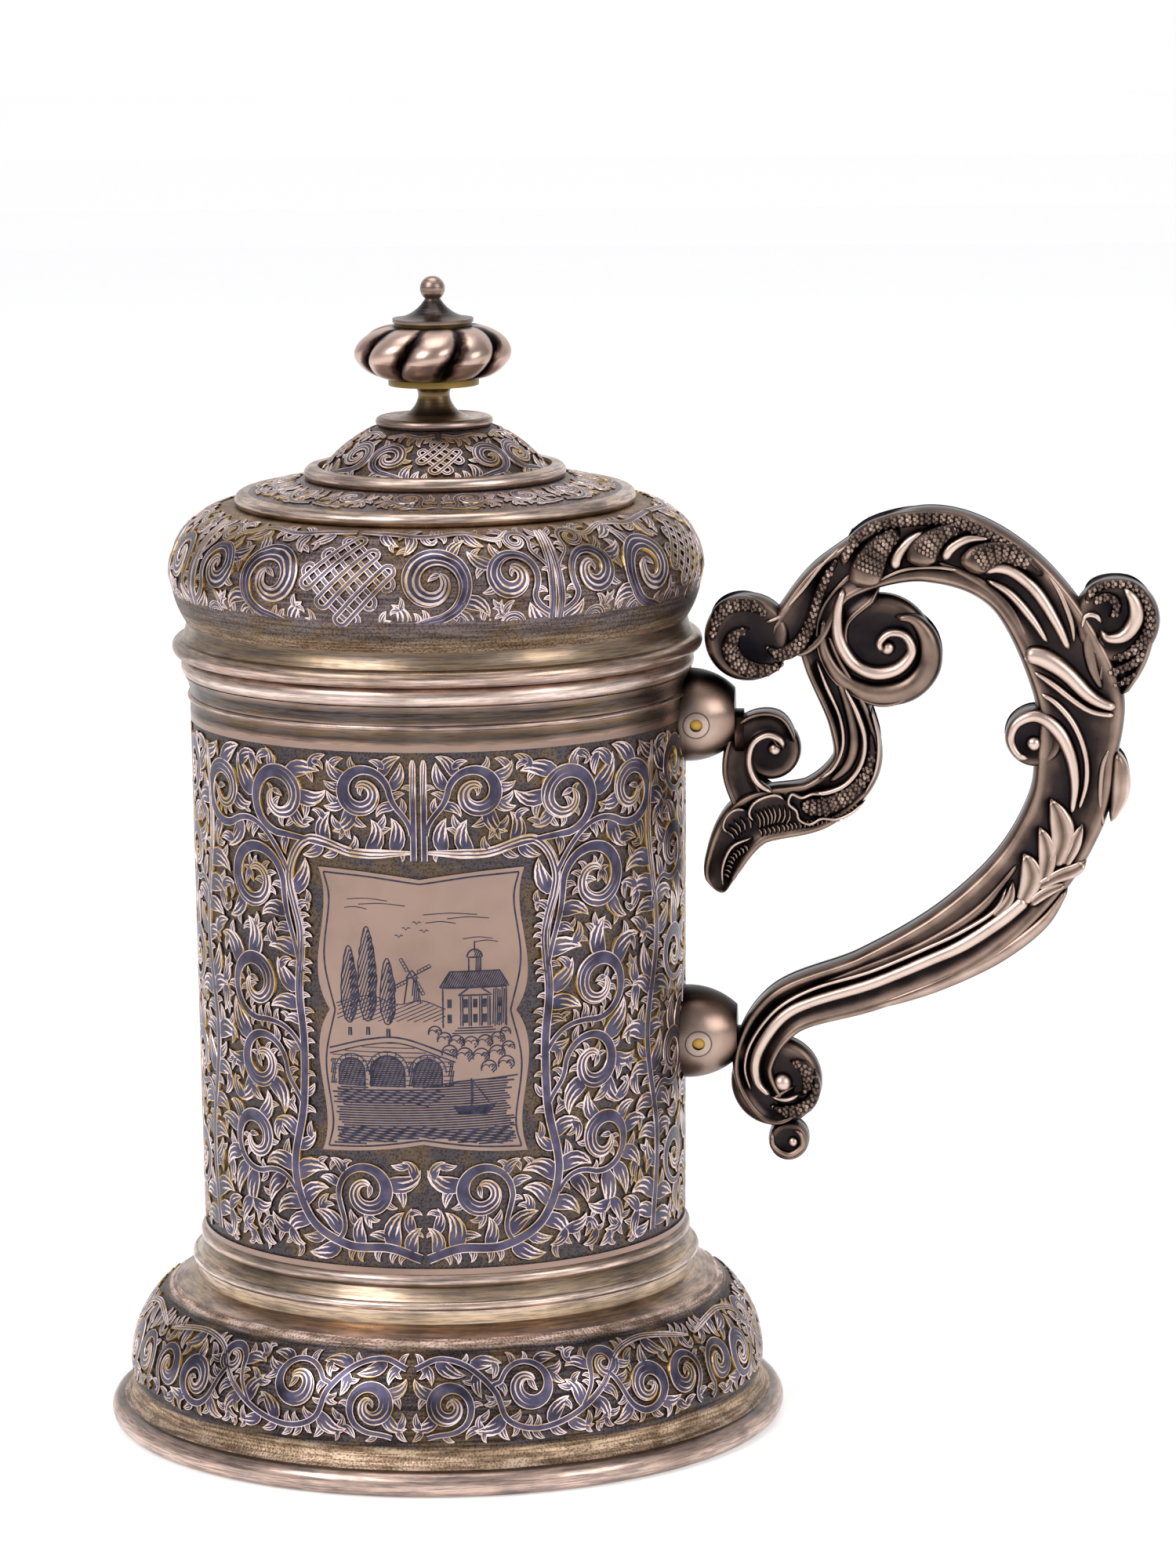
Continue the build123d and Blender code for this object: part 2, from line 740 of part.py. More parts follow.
def socket_part(pin_z, tongue):
    """A domed socket fitted to the drum, slotted for the tongue and drilled for the pin."""
    dome_axis_z = pin_z + socket_rise
    base_x = foot_bore_radius - socket_radius
    face_x = drum_face(dome_axis_z)
    with BuildPart() as socket:
        with BuildSketch(Plane.XZ):
            with BuildLine():
                face = (face_x, dome_axis_z + socket_radius)
                tip = (socket_tip_x, dome_axis_z + socket_tip_radius)
                Line((base_x, dome_axis_z + socket_radius), face)
                ThreePointArc(
                    face,
                    (
                        (face_x + socket_tip_x) / 2 + collar_length / 2,
                        dome_axis_z + (socket_radius + socket_tip_radius) / 2 + collar_length / 2,
                    ),
                    tip,
                )
                Polyline(tip, (socket_tip_x, dome_axis_z), (base_x, dome_axis_z))
                Line((base_x, dome_axis_z), (base_x, dome_axis_z + socket_radius))
            make_face()
        revolve(axis=Axis((0, 0, dome_axis_z), (1, 0, 0)))
        add(cup_core.part, mode=Mode.SUBTRACT)
        add(tongue.part, mode=Mode.SUBTRACT)
        with BuildSketch(Plane.XZ.offset(-socket_radius)):
            with Locations((pins_x, pin_z)):
                Circle(pin_radius)
        extrude(amount=2 * socket_radius, mode=Mode.SUBTRACT)
    return socket


pin_flush_radius = socket_radius - pin_radius / 2


def pin_part(pin_z):
    """A brass pin, filed flush with the socket on both sides."""
    with BuildPart() as pin:
        with BuildSketch(Plane.XZ.offset(-socket_radius)):
            with Locations((pins_x, pin_z)):
                Circle(pin_radius)
        extrude(amount=2 * socket_radius)
        with BuildSketch(Plane.YZ.offset(pins_x - socket_radius)):
            with Locations((0, pin_z + socket_rise)):
                Circle(pin_flush_radius)
        extrude(amount=2 * socket_radius, mode=Mode.INTERSECT)
    return pin


def collar_part(pin_z):
    """A plain collar on the tenon, between the socket and the handle."""
    with BuildPart() as collar:
        with BuildSketch(Plane.YZ.offset(socket_tip_x)):
            with Locations((0, pin_z - tenon_drop)):
                Circle(collar_radius)
                Circle(tenon_radius, mode=Mode.SUBTRACT)
        extrude(amount=collar_length)
    return collar


tongues, sockets, collars = {}, {}, {}
for place, pin_z in (("upper", upper_pin_z), ("lower", lower_pin_z)):
    tongues[place] = tongue_part(pin_z)
    finished(tongues[place], f"{place}_tongue")
    sockets[place] = socket_part(pin_z, tongues[place])
    finished(sockets[place], f"{place}_socket")
    collars[place] = collar_part(pin_z)
    finished(collars[place], f"{place}_collar")
    finished(pin_part(pin_z), f"{place}_pin")

# ---------------------------------------------------------------- handle
# Each strap of the handle is a run of stations: how far out from its pin, how far above it, and
# how wide, in units of the drawing. Upper stations hang from the upper pin and lower ones stand
# on the lower pin.


def on_pin(pin_z, stations):
    """The stations in the part's own frame, as x, z and width."""
    return [
        (pins_x + out * station_length, pin_z + up * station_length, width * station_length)
        for out, up, width in stations
    ]


def upper(*stations):
    """Stations that hang from the upper pin."""
    return on_pin(upper_pin_z, stations)


def lower(*stations):
    """Stations that stand on the lower pin."""
    return on_pin(lower_pin_z, stations)


spine = upper(
    (11.5, 11.7, 9), (17.5, 16.2, 10), (24.6, 25.1, 9.2), (40, 30.5, 13.2), (54.9, 23.9, 12.4),
    (65.1, 6.7, 15.6), (65.2, -6.1, 14.6), (63.4, -16.1, 14.2), (56.7, -27.5, 13.8),
) + lower(
    (45.2, 17.9, 13.4), (30, 10.3, 11), (15, 4.9, 9.4), (9.3, -4.7, 7.4), (13, -12.3, 6.2),
    (18.3, -8.7, 4.6),
)
back_scroll = upper((70.5, 3.9, 5), (73.1, 10.9, 8.8), (73.3, 16.9, 12))
collar_band = upper((55.6, 11.5, 4.6), (64.5, 7.1, 4.8), (72.6, 2.1, 4.2))
great_scroll = upper(
    (31, 25.7, 8), (23.6, 17.9, 6.4), (24.8, 9.5, 6), (32.5, 5.3, 6), (38.9, 10.5, 5.6),
    (35.6, 17.3, 3.6),
)
inner_arm = upper(
    (21.5, 10.4, 7), (26.5, -0.1, 8), (27.2, -8.1, 8.8), (20.6, -14.6, 9.2), (9.5, -17.4, 9.7),
    (4.1, -25.1, 6.5), (4, -30.6, 2.5),
)
neck_scroll = upper(
    (9.5, -15.6, 6.5), (6.9, -8.6, 5.6), (8.6, -2.1, 5.2), (13.2, -0.8, 4.6), (16, -4.9, 3.6),
)
cabochon = upper((70, -18.9, 1.5), (71, -11.6, 6.6), (70.6, -4.3, 1.5))

# Round members: the scrolls' leaves and webs, and the eyes that the scrolls wind up to.
leaves = upper((8.8, 14.4, 15.2), (72, 17.2, 15.2), (58.2, -2.9, 10.4)) + lower((15.4, -18.2, 7.2))
webs = upper((31.4, 12.6, 19), (12.5, -5.1, 11)) + lower((13.3, -7.9, 16))
eyes = upper((33, 12.9, 4), (13.3, -4.9, 3.2), (57.9, -3.5, 3)) + lower(
    (14.2, -8, 4.2), (16.5, -18.5, 2.6))


def strap(stations, depth):
    """A bevelled strap through its stations, flat on the handle's seam."""
    with BuildPart() as piece:
        for number, (x, z, width) in enumerate(stations):
            before = stations[max(number - 1, 0)]
            after = stations[min(number + 1, len(stations) - 1)]
            along = Vector(after[0] - before[0], 0, after[1] - before[1]).normalized()
            across = Vector(-along.Z, 0, along.X)
            with BuildSketch(Plane((x, 0, z), x_dir=across, z_dir=along)):
                with BuildLine():
                    shoulder = width / 2 * strap_shoulder_width
                    crown = width / 2 * strap_crown
                    Polyline(
                        (-width / 2, 0),
                        (width / 2, 0),
                        (shoulder, depth * strap_shoulder_height),
                        (crown, depth),
                        (-crown, depth),
                        (-shoulder, depth * strap_shoulder_height),
                        close=True,
                    )
                make_face()
        loft()
    return piece.part


def button(station, depth):
    """A low dome, flat on the handle's seam."""
    x, z, width = station
    with BuildPart() as piece:
        with BuildSketch(Plane.XY.offset(z)):
            with BuildLine():
                Polyline(
                    (x, -depth),
                    (x, 0),
                    (x + width / 2, 0),
                    (x + width / 2, -depth * button_shoulder_height),
                    (x + width / 2 * button_crown, -depth),
                    close=True,
                )
            make_face()
        revolve(axis=Axis((x, 0, z), (0, 1, 0)))
    return piece.part


# Each member with how many steps it lies below the spine.
straps = (
    (spine, 0), (back_scroll, 1), (collar_band, -1), (great_scroll, 2), (inner_arm, 2.5),
    (neck_scroll, 4), (cabochon, 4),
)
buttons = ((leaves, 3), (webs, 10), (eyes, 1.5))
with BuildPart() as handle_half_near:
    for stations, steps in straps:
        add(strap(stations, handle_depth - depth_step * steps))
    for stations, steps in buttons:
        for station in stations:
            add(button(station, handle_depth - depth_step * steps))
    for place in ("upper", "lower"):
        add(sockets[place].part, mode=Mode.SUBTRACT)
        add(collars[place].part, mode=Mode.SUBTRACT)
        add(tongues[place].part, mode=Mode.SUBTRACT)
finished(handle_half_near, "handle_half_near")

with BuildPart() as handle_half_far:
    add(handle_half_near.part)
    mirror(about=Plane.XZ, mode=Mode.REPLACE)
finished(handle_half_far, "handle_half_far")
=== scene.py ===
"""Lidded tankard in parcel-gilt silver with niello scrollwork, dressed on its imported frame."""

import math

import bpy
import numpy as np
from mathutils import Matrix, Vector


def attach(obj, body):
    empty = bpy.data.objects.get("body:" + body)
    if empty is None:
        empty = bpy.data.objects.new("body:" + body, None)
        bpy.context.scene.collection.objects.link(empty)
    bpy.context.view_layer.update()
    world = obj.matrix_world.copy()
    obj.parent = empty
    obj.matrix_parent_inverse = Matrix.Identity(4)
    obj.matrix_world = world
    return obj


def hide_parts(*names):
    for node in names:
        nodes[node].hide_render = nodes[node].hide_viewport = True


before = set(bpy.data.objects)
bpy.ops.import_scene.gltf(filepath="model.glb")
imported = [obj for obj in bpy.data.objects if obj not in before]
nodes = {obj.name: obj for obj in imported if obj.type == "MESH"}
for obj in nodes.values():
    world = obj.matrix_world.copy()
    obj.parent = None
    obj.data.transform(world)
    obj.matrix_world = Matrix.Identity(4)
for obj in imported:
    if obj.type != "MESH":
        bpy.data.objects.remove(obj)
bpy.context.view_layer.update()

# ---------------------------------------------------------------------------------------------
# Foot wire: the half-round silver ring that the tankard stands on, drawn, bent round and soldered
# under the skirt. Handling keeps its outer face bright and pinkish; dirt stays in the joint above.

MM = 0.001


def linear(code):
    """An sRGB hex colour as the linear colour that a shader takes."""
    parts = [int(code[i : i + 2], 16) / 255 for i in (1, 3, 5)]
    return [c / 12.92 if c <= 0.04045 else ((c + 0.055) / 1.055) ** 2.4 for c in parts] + [1.0]


def fill(node, links):
    """Fills a node's sockets with values, hex colours, outputs, or nodes for their first ones."""
    for socket, value in dict(links).items():
        if isinstance(value, bpy.types.Node):
            value = next(o for o in value.outputs if o.enabled)
        if isinstance(value, bpy.types.NodeSocket):
            node.id_data.links.new(value, node.inputs[socket])
        else:
            node.inputs[socket].default_value = linear(value) if isinstance(value, str) else value


def add(tree, kind, links=(), stops=(), **settings):
    """Adds a node with its settings, its sockets filled, and a ramp's stops as (place, hex)."""
    node = tree.nodes.new(kind if "Node" in kind else "ShaderNode" + kind)
    for key, value in settings.items():
        setattr(node, key, value)
    fill(node, links)
    if stops:
        band = node.color_ramp.elements
        while len(band) < len(stops):
            band.new(0.5)
        for element, (place, code) in zip(band, stops):
            element.position = place
            element.color = linear(code)
    return node


def new_metal(name):
    """A metal with nothing else set yet: it, its tree, its shader and the place on the object."""
    made = bpy.data.materials.new(name)
    made.use_nodes = True
    tree = made.node_tree
    shader = tree.nodes["Principled BSDF"]
    fill(shader, {"Metallic": 1.0})
    return made, tree, shader, add(tree, "TexCoord").outputs["Object"]


def banded(tree, place, low, high, stops):
    """Colours up an object from one height to another; stops are (height in mm, hex colour)."""
    height = add(tree, "SeparateXYZ", {0: place}).outputs["Z"]
    share = add(tree, "MapRange", {"Value": height, "From Min": low * MM, "From Max": high * MM})
    places = [((z - low) / (high - low), code) for z, code in stops]
    return add(tree, "ValToRGB", {"Fac": share}, places)


def streaks(tree, place, scale, detail, shift=(0, 0, 0), roughness=0.5):
    """Noise drawn out round the axis, as the lathe or the polishing wheel leaves it."""
    flat = add(tree, "Mapping", {"Vector": place, "Scale": scale, "Location": shift})
    shape = {"Vector": flat, "Scale": 1.0, "Detail": detail, "Roughness": roughness}
    return add(tree, "TexNoise", shape)


def veil(tree, colour, over, noise, low, high, strength):
    """Lays one colour over another where a noise rises from low to high, up to a strength."""
    mask = add(tree, "ValToRGB", {"Fac": noise}, [(low, "#000000"), (high, "#ffffff")])
    mask = add(tree, "Math", {0: mask, 1: strength}, operation="MULTIPLY")
    return add(tree, "Mix", {0: mask, 6: colour, 7: over}, data_type="RGBA")


def turned_silver(name, low, high, stops, gilt, soot=0.55):
    """Lathe-turned silver: colours up its height in mm, tarnish in streaks along the turning."""
    made, tree, shader, place = new_metal(name)
    colour = banded(tree, place, low, high, stops)
    # gilding is left in streaks about 12 mm long and 0.6 mm high
    streak = streaks(tree, place, (80, 80, 1600), 5.0)
    colour = veil(tree, colour, "#957a4c", streak, 0.46, 0.56, gilt)
    # a sooty film lies over it in streaks about 8 mm long and 0.4 mm high
    film = streaks(tree, place, (130, 130, 2600), 6.0, (7, 3, 5), 0.65)
    colour = veil(tree, colour, "#5f5b5f", film, 0.47, 0.57, soot)
    # turning marks about 0.14 mm apart, coarser than real ones so that they show
    fine = streaks(tree, place, (260, 260, 7000), 2.0)
    fine = add(tree, "ValToRGB", {"Fac": fine}, [(0.32, "#a2968e"), (0.52, "#ffffff")])
    marks = {0: 0.55, 6: colour, 7: fine}
    colour = add(tree, "Mix", marks, data_type="RGBA", blend_type="MULTIPLY")
    # dirty stains are about 11 mm across, and dull too
    patch = add(tree, "TexNoise", {"Vector": place, "Scale": 90.0, "Detail": 4.0})
    dirty = add(tree, "Mix", {0: 0.65, 6: colour, 7: "#2c2622"}, data_type="RGBA")
    colour = veil(tree, colour, dirty, patch, 0.45, 0.65, soot)
    dulled = {"Value": patch, "From Min": 0.3, "From Max": 0.7, "To Min": 0.24, "To Max": 0.42}
    dull = add(tree, "MapRange", dulled)
    grain = add(tree, "Bump", {"Height": streak, "Strength": 0.25, "Distance": 0.04 * MM})
    fill(shader, {"Base Color": colour, "Roughness": dull, "Normal": grain})
    return made


def dress(name, material):
    """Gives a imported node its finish."""
    nodes[name].data.materials.clear()
    nodes[name].data.materials.append(material)


foot_wire_colours = [(0, "#a98e81"), (1.5, "#e0c5b8"), (3.6, "#d3b6a8"), (4.5, "#6b5a4e")]
dress("foot_wire", turned_silver("worn_silver_foot_wire", 0, 4.5, foot_wire_colours, gilt=0.12))

# ---------------------------------------------------------------------------------------------
# Foot skirt: one raised sheet with a gilt cove at the bottom and a flat flange at the top. Its
# bulge is punched dark all over, and the scrollwork stands proud of that ground.


def punched_ground(name, low, high, stops, wheel=0.15):
    """Sunk ground, matted with a punch 0.45 mm across and oxidised; gilding lingers in patches."""
    made, tree, shader, place = new_metal(name)
    colour = banded(tree, place, low, high, stops)
    # patches of gilding are about 6 mm across
    patch = add(tree, "TexNoise", {"Vector": place, "Scale": 170.0, "Detail": 4.0})
    colour = veil(tree, colour, "#7b6444", patch, 0.5, 0.58, 0.45)
    # streaks about 9 mm long and 0.4 mm high, left by the polishing wheel
    rubbed = [(0.36, "#6f625a"), (0.48, "#b9a89a"), (0.56, "#ffffff")]
    streak = add(tree, "ValToRGB", {"Fac": streaks(tree, place, (110, 110, 2400), 5.0)}, rubbed)
    tinted = {"data_type": "RGBA", "blend_type": "MULTIPLY"}
    colour = add(tree, "Mix", {0: wheel, 6: colour, 7: streak}, **tinted)
    punch = add(tree, "TexVoronoi", {"Vector": place, "Scale": 1 / (0.45 * MM)}, feature="F1")
    pit = add(tree, "ValToRGB", {"Fac": punch}, [(0.1, "#404040"), (0.55, "#ffffff")])
    colour = add(tree, "Mix", {0: 0.7, 6: colour, 7: pit}, **tinted)
    bump = add(tree, "Bump", {"Height": punch, "Strength": 0.7, "Distance": 0.12 * MM})
    fill(shader, {"Base Color": colour, "Roughness": 0.5, "Normal": bump})
    return made


GROUND = "#575053"
skirt_colours = [
    (4.5, "#c2a995"), (7.2, "#d4b99c"), (8.2, GROUND), (23.2, GROUND), (24.0, "#e6ccbe"),
]
skirt_silver = punched_ground("punched_ground_foot_skirt", 4.5, 24.7, skirt_colours, wheel=0.75)
dress("foot_skirt", skirt_silver)


def run_through(points, step=0.5):
    """A smooth line through given points, in mm, with a point about every step."""
    knots = np.array(points, float)
    ends = np.vstack([2 * knots[0] - knots[1], knots, 2 * knots[-1] - knots[-2]])
    out = []
    for a, b, c, d in zip(ends, ends[1:], ends[2:], ends[3:]):
        count = max(2, int(np.linalg.norm(c - b) / step))
        t = np.linspace(0, 1, count, endpoint=False)[:, None]
        cubic = (3 * b - a - 3 * c + d) * t**3 + (2 * a - 5 * b + 4 * c - d) * t**2
        out.append(0.5 * (cubic + (c - a) * t + 2 * b))
    return np.vstack(out + [knots[-1:]])


def stem(points, half=0.7):
    """A plain vine through its points."""
    return {"line": run_through(points), "half": half, "eye": False}


def scroll(root, heading, eye, radius, enter, hand, turns=1.35, half=1.0):
    """A vine that leaves its root and winds up round an eye, clockwise where hand is -1."""
    enter = math.radians(enter)
    eye, root = np.array(eye, float), np.array(root, float)
    start = eye + radius * np.array([math.cos(enter), math.sin(enter)])
    into = hand * np.array([-math.sin(enter), math.cos(enter)])
    out = np.array([math.cos(math.radians(heading)), math.sin(math.radians(heading))])
    gap = np.linalg.norm(start - root)
    t = np.linspace(0, 1, max(3, int(gap / 0.5)), endpoint=False)[:, None]
    first, second = root + out * 0.45 * gap, start - into * 0.45 * gap
    rise = (1 - t) ** 3 * root + 3 * (1 - t) ** 2 * t * first
    rise = rise + 3 * (1 - t) * t**2 * second + t**3 * start
    s = np.linspace(0, 1, int(turns * 2 * math.pi * radius * 0.62 / 0.5))
    angle, r = enter + hand * turns * 2 * math.pi * s, radius * (1 - 0.74 * s**0.85)
    wind = eye + np.stack([r * np.cos(angle), r * np.sin(angle)], 1)
    return {"line": np.vstack([rise, wind]), "half": half, "eye": True, "hand": hand}


def lobe(root, heading, length, bend, count=8):
    """The middle line and half-widths of one leaf lobe that bends as it goes."""
    t = np.linspace(0, 1, count)
    angle = np.radians(heading + bend * (t[:-1] + t[1:]) / 2)
    hops = np.stack([np.cos(angle), np.sin(angle)], 1) * length / (count - 1)
    line = np.vstack([[0, 0], np.cumsum(hops, 0)]) + root
    return line, length * 0.205 * np.sin(np.pi * t**0.72) ** 0.85 + 0.12 * (1 - t) + 0.03


CELL = 0.2


def stamp(taken, line, half, gap):
    """Marks the ground that a strip and the gap round it take up."""
    for (x, y), w in zip(line / CELL, (half + gap) / CELL):
        x0, x1 = max(int(x - w), 0), min(int(x + w) + 2, taken.shape[1])
        y0, y1 = max(int(y - w), 0), min(int(y + w) + 2, taken.shape[0])
        if x0 < x1 and y0 < y1:
            rows, columns = np.ogrid[y0:y1, x0:x1]
            taken[y0:y1, x0:x1] |= (columns - x) ** 2 + (rows - y) ** 2 <= w * w


def sides(line):
    """The unit normals of a flat line."""
    along = np.gradient(line, axis=0)
    along /= np.linalg.norm(along, axis=1)[:, None] + 1e-9
    return np.stack([-along[:, 1], along[:, 0]], 1)


def heading_at(line, i):
    """Which way a line runs at one of its points, in degrees."""
    x, y = line[min(i + 1, len(line) - 1)] - line[max(i - 1, 0)]
    return math.degrees(math.atan2(y, x))


def clear(taken, line, half, skip):
    """Whether a lobe lies on free ground, apart from its first points."""
    out = sides(line) * half[:, None]
    probes = np.vstack([line[skip:], (line + out)[skip:], (line - out)[skip:]]) / CELL
    rows, columns = probes[:, 1].astype(int), probes[:, 0].astype(int)
    if min(rows.min(), columns.min()) < 0:
        return False
    if rows.max() >= taken.shape[0] or columns.max() >= taken.shape[1]:
        return False
    return not taken[rows, columns].any()


def grow(width, height, vines, seed, sizes=(6.0, 4.8, 3.8, 3.0, 2.4, 1.9), closed=None, gap=0.2):
    """A field's strips (line, half-widths, rise): its vines, then acanthus wherever that fits."""
    rng = np.random.default_rng(seed)
    taken = np.zeros((int(height / CELL) + 1, int(width / CELL) + 1), bool)
    taken[:2] = taken[-2:] = taken[:, :1] = taken[:, -1:] = True
    if closed is not None:
        rows, columns = np.mgrid[: taken.shape[0], : taken.shape[1]] * CELL
        taken |= closed(columns, rows)
    strips, grown = [], []

    def place(line, half, rise, room):
        stamp(taken, line, half, room)
        strips.append((line, half, rise))

    for vine in vines:
        line = vine["line"]
        s = np.linspace(0, 1, len(line))
        swell = 0.42 + 0.75 * np.exp(-(((s - 0.62) / 0.26) ** 2)) if vine["eye"] else 1.0 + 0 * s
        place(line, 1.2 * vine["half"] * swell * np.minimum(1, 0.4 + 12 * (1 - s)), 1.0, gap)
        grown.append(line)
    for vine in vines:
        if not vine["eye"]:
            continue
        line, hand = vine["line"], vine["hand"]
        for turned, size in ((0, 3.0), (45, 2.3), (-40, 2.3), (85, 1.8), (-80, 1.8)):
            facing = heading_at(line, len(line) - 1) + hand * turned
            leaf, wide = lobe(line[-1], facing, size, hand * 35)
            if clear(taken, leaf, wide, 4):
                place(leaf, wide, 0.94, 0.08)
    for size in sizes:
        order = [(k, i) for k, line in enumerate(grown) for i in range(2, len(line) - 2, 3)]
        rng.shuffle(order)
        fresh = []
        for k, i in order:
            line = grown[k]
            for side in (1, -1):
                for opened, bend in ((28, 105), (50, 75), (70, -60)):
                    long = size * (0.85 + 0.3 * rng.random())
                    facing = heading_at(line, i) + side * opened
                    leaf, wide = lobe(line[i], facing, long, side * bend)
                    if clear(taken, leaf, wide, 3 if size > 3 else 4):
                        break
                else:
                    continue
                place(leaf, wide, 0.9 + 0.08 * rng.random(), gap)
                if size < 3.2:
                    continue
                fresh.append(leaf)
                for at, spread, share in ((2, -42, 0.55), (4, -38, 0.42), (3, 40, 0.4)):
                    turned = heading_at(leaf, at) + side * spread
                    part, thin = lobe(leaf[at], turned, long * share, side * spread * 1.2)
                    if clear(taken, part, thin, 4):
                        place(part, thin, 0.86 + 0.06 * rng.random(), 0.1)
        grown += fresh
    return strips


def flat_relief(name, strips, rise, plain=()):
    """Strips as a flat mesh, mirrored about x = 0; those in plain are made once. Heights in mm.

    Each strip has sloped sides and a slightly crowned top. Its attributes are what the finish
    reads: rim is the distance in from the edge in mm, and below 0 on the side walls.
    """
    across = np.array([-1.08, -0.9, 0.0, 0.9, 1.08])
    level = np.array([0.0, 0.96, 1.0, 0.96, 0.0])
    points, faces, rim, share, side, count = [], [], [], [], [], 0
    for mirrored in (1, -1, 0):
        for line, half, lift in plain if mirrored == 0 else strips:
            n = len(line)
            flip = -1 if mirrored == -1 else 1
            flat = line[:, None, :] + sides(line)[:, None, :] * (half[:, None] * across)[:, :, None]
            high = np.tile(level * rise * lift, (n, 1))
            points.append(np.dstack([flat[:, :, 0] * flip, flat[:, :, 1], high]).reshape(-1, 3))
            inward = half[:, None] * (1 - np.abs(across)[None, :] / 0.9)
            inward[:, [0, 4]] = -0.4
            rim.append(inward.ravel())
            bared = np.linspace(0, 1, n) ** (1 if n < 12 else 2) * (0.3 if mirrored == 0 else 1)
            share.append(np.repeat(bared, 5))
            side.append(np.tile(across * flip, n))
            i, j = np.meshgrid(np.arange(n - 1), np.arange(4), indexing="ij")
            a = (count + i * 5 + j).ravel()
            quads = np.stack([a, a + 5, a + 6, a + 1], 1)
            caps = [[count + c for c in range(5)], [count + n * 5 - 1 - c for c in range(5)]]
            if flip == -1:
                quads, caps = quads[:, ::-1], [c[::-1] for c in caps]
            faces += quads.tolist() + caps
            count += n * 5
    mesh = bpy.data.meshes.new(name)
    mesh.from_pydata((np.vstack(points) * MM).tolist(), [], faces)
    for key, values in (("rim", rim), ("share", share), ("side", side)):
        mesh.attributes.new(key, "FLOAT", "POINT").data.foreach_set("value", np.concatenate(values))
    return mesh


def niello_silver(name, least_cut=-0.9):
    """Chased silver scrolls filled with niello, a blue-black sulphide, with edges cut bright.

    least_cut is how readily the burin cuts a strip's root: not at all at -0.9, thinly at -0.5.
    """
    made, tree, shader, place = new_metal(name)
    rim, share, side = (
        add(
            tree, "Attribute", attribute_name=key,
        ).outputs["Fac"] for key in ("rim", "share", "side")
    )
    # the niello and the silver are mottled, about every 4 mm
    cloud = add(tree, "TexNoise", {"Vector": place, "Scale": 260.0, "Detail": 5.0})
    sulphide = [(0.3, "#37333e"), (0.46, "#494557"), (0.58, "#59546a"), (0.72, "#6f6366")]
    niello = add(tree, "ValToRGB", {"Fac": cloud}, sulphide)
    silver = [(0.3, "#bba090"), (0.5, "#ebd2c9"), (0.7, "#f6e4dd")]
    bright = add(tree, "ValToRGB", {"Fac": cloud}, silver)
    # gilding lingers on the bright parts, in patches 2 to 5 mm across
    patch = {"Vector": place, "Scale": 210.0, "Detail": 7.0, "Roughness": 0.62}
    patch = add(tree, "TexNoise", patch)
    patch = add(tree, "ValToRGB", {"Fac": patch}, [(0.49, "#000000"), (0.57, "#ffffff")])
    gold = add(tree, "Math", {0: patch, 1: 0.75}, operation="MULTIPLY")
    bright = add(tree, "Mix", {0: gold, 6: bright, 7: "#b09256"}, data_type="RGBA")
    # the outline left bright is about 0.15 mm wide
    inward = add(tree, "MapRange", {"Value": rim, "From Max": 0.4})
    line = add(tree, "ValToRGB", {"Fac": inward}, [(0.3, "#ffffff"), (0.44, "#000000")])
    # the burin's strokes fan out along a strip and reach further in towards its tip
    shake = add(tree, "Math", {0: cloud, 1: 5.0}, operation="MULTIPLY")
    fan = add(tree, "Math", {0: side, 1: 9.0, 2: shake}, operation="MULTIPLY_ADD")
    stroke = add(tree, "Math", {0: share, 1: 7.0, 2: fan}, operation="MULTIPLY_ADD")
    wave = add(tree, "Math", {0: stroke}, operation="SINE")
    reach = {"Value": share, "From Min": 0.2, "From Max": 0.95, "To Min": least_cut, "To Max": 0.95}
    cut = add(tree, "Math", {0: wave, 1: add(tree, "MapRange", reach)}, operation="ADD")
    cut = add(tree, "ValToRGB", {"Fac": cut}, [(0.35, "#000000"), (0.6, "#ffffff")])
    top = add(tree, "Mix", {0: cut, 6: niello, 7: bright}, data_type="RGBA")
    top = add(tree, "Mix", {0: line, 6: top, 7: bright}, data_type="RGBA")
    wall = add(tree, "Mix", {0: patch, 6: "#3a2f26", 7: "#96773c"}, data_type="RGBA")
    height = add(tree, "MapRange", {"Value": rim, "From Min": -0.16, "From Max": -0.04})
    colour = add(tree, "Mix", {0: height, 6: wall, 7: top}, data_type="RGBA")
    dulled = {"Value": cloud, "From Min": 0.3, "From Max": 0.7, "To Min": 0.3, "To Max": 0.46}
    dull = add(tree, "MapRange", dulled)
    depth = add(tree, "Math", {0: cut, 1: line}, operation="MAXIMUM")
    bump = add(tree, "Bump", {"Height": depth, "Strength": 0.5, "Distance": 0.06 * MM})
    fill(shader, {"Base Color": colour, "Roughness": dull, "Normal": bump})
    return made


def new_group(name, inputs, result):
    """An empty geometry-nodes group: its tree and the outputs of its group input."""
    tree = bpy.data.node_groups.new(name, "GeometryNodeTree")
    for key, kind in inputs.items():
        tree.interface.new_socket(key, in_out="INPUT", socket_type="NodeSocket" + kind)
    tree.interface.new_socket(result, in_out="OUTPUT", socket_type="NodeSocketGeometry")
    return tree, add(tree, "NodeGroupInput").outputs


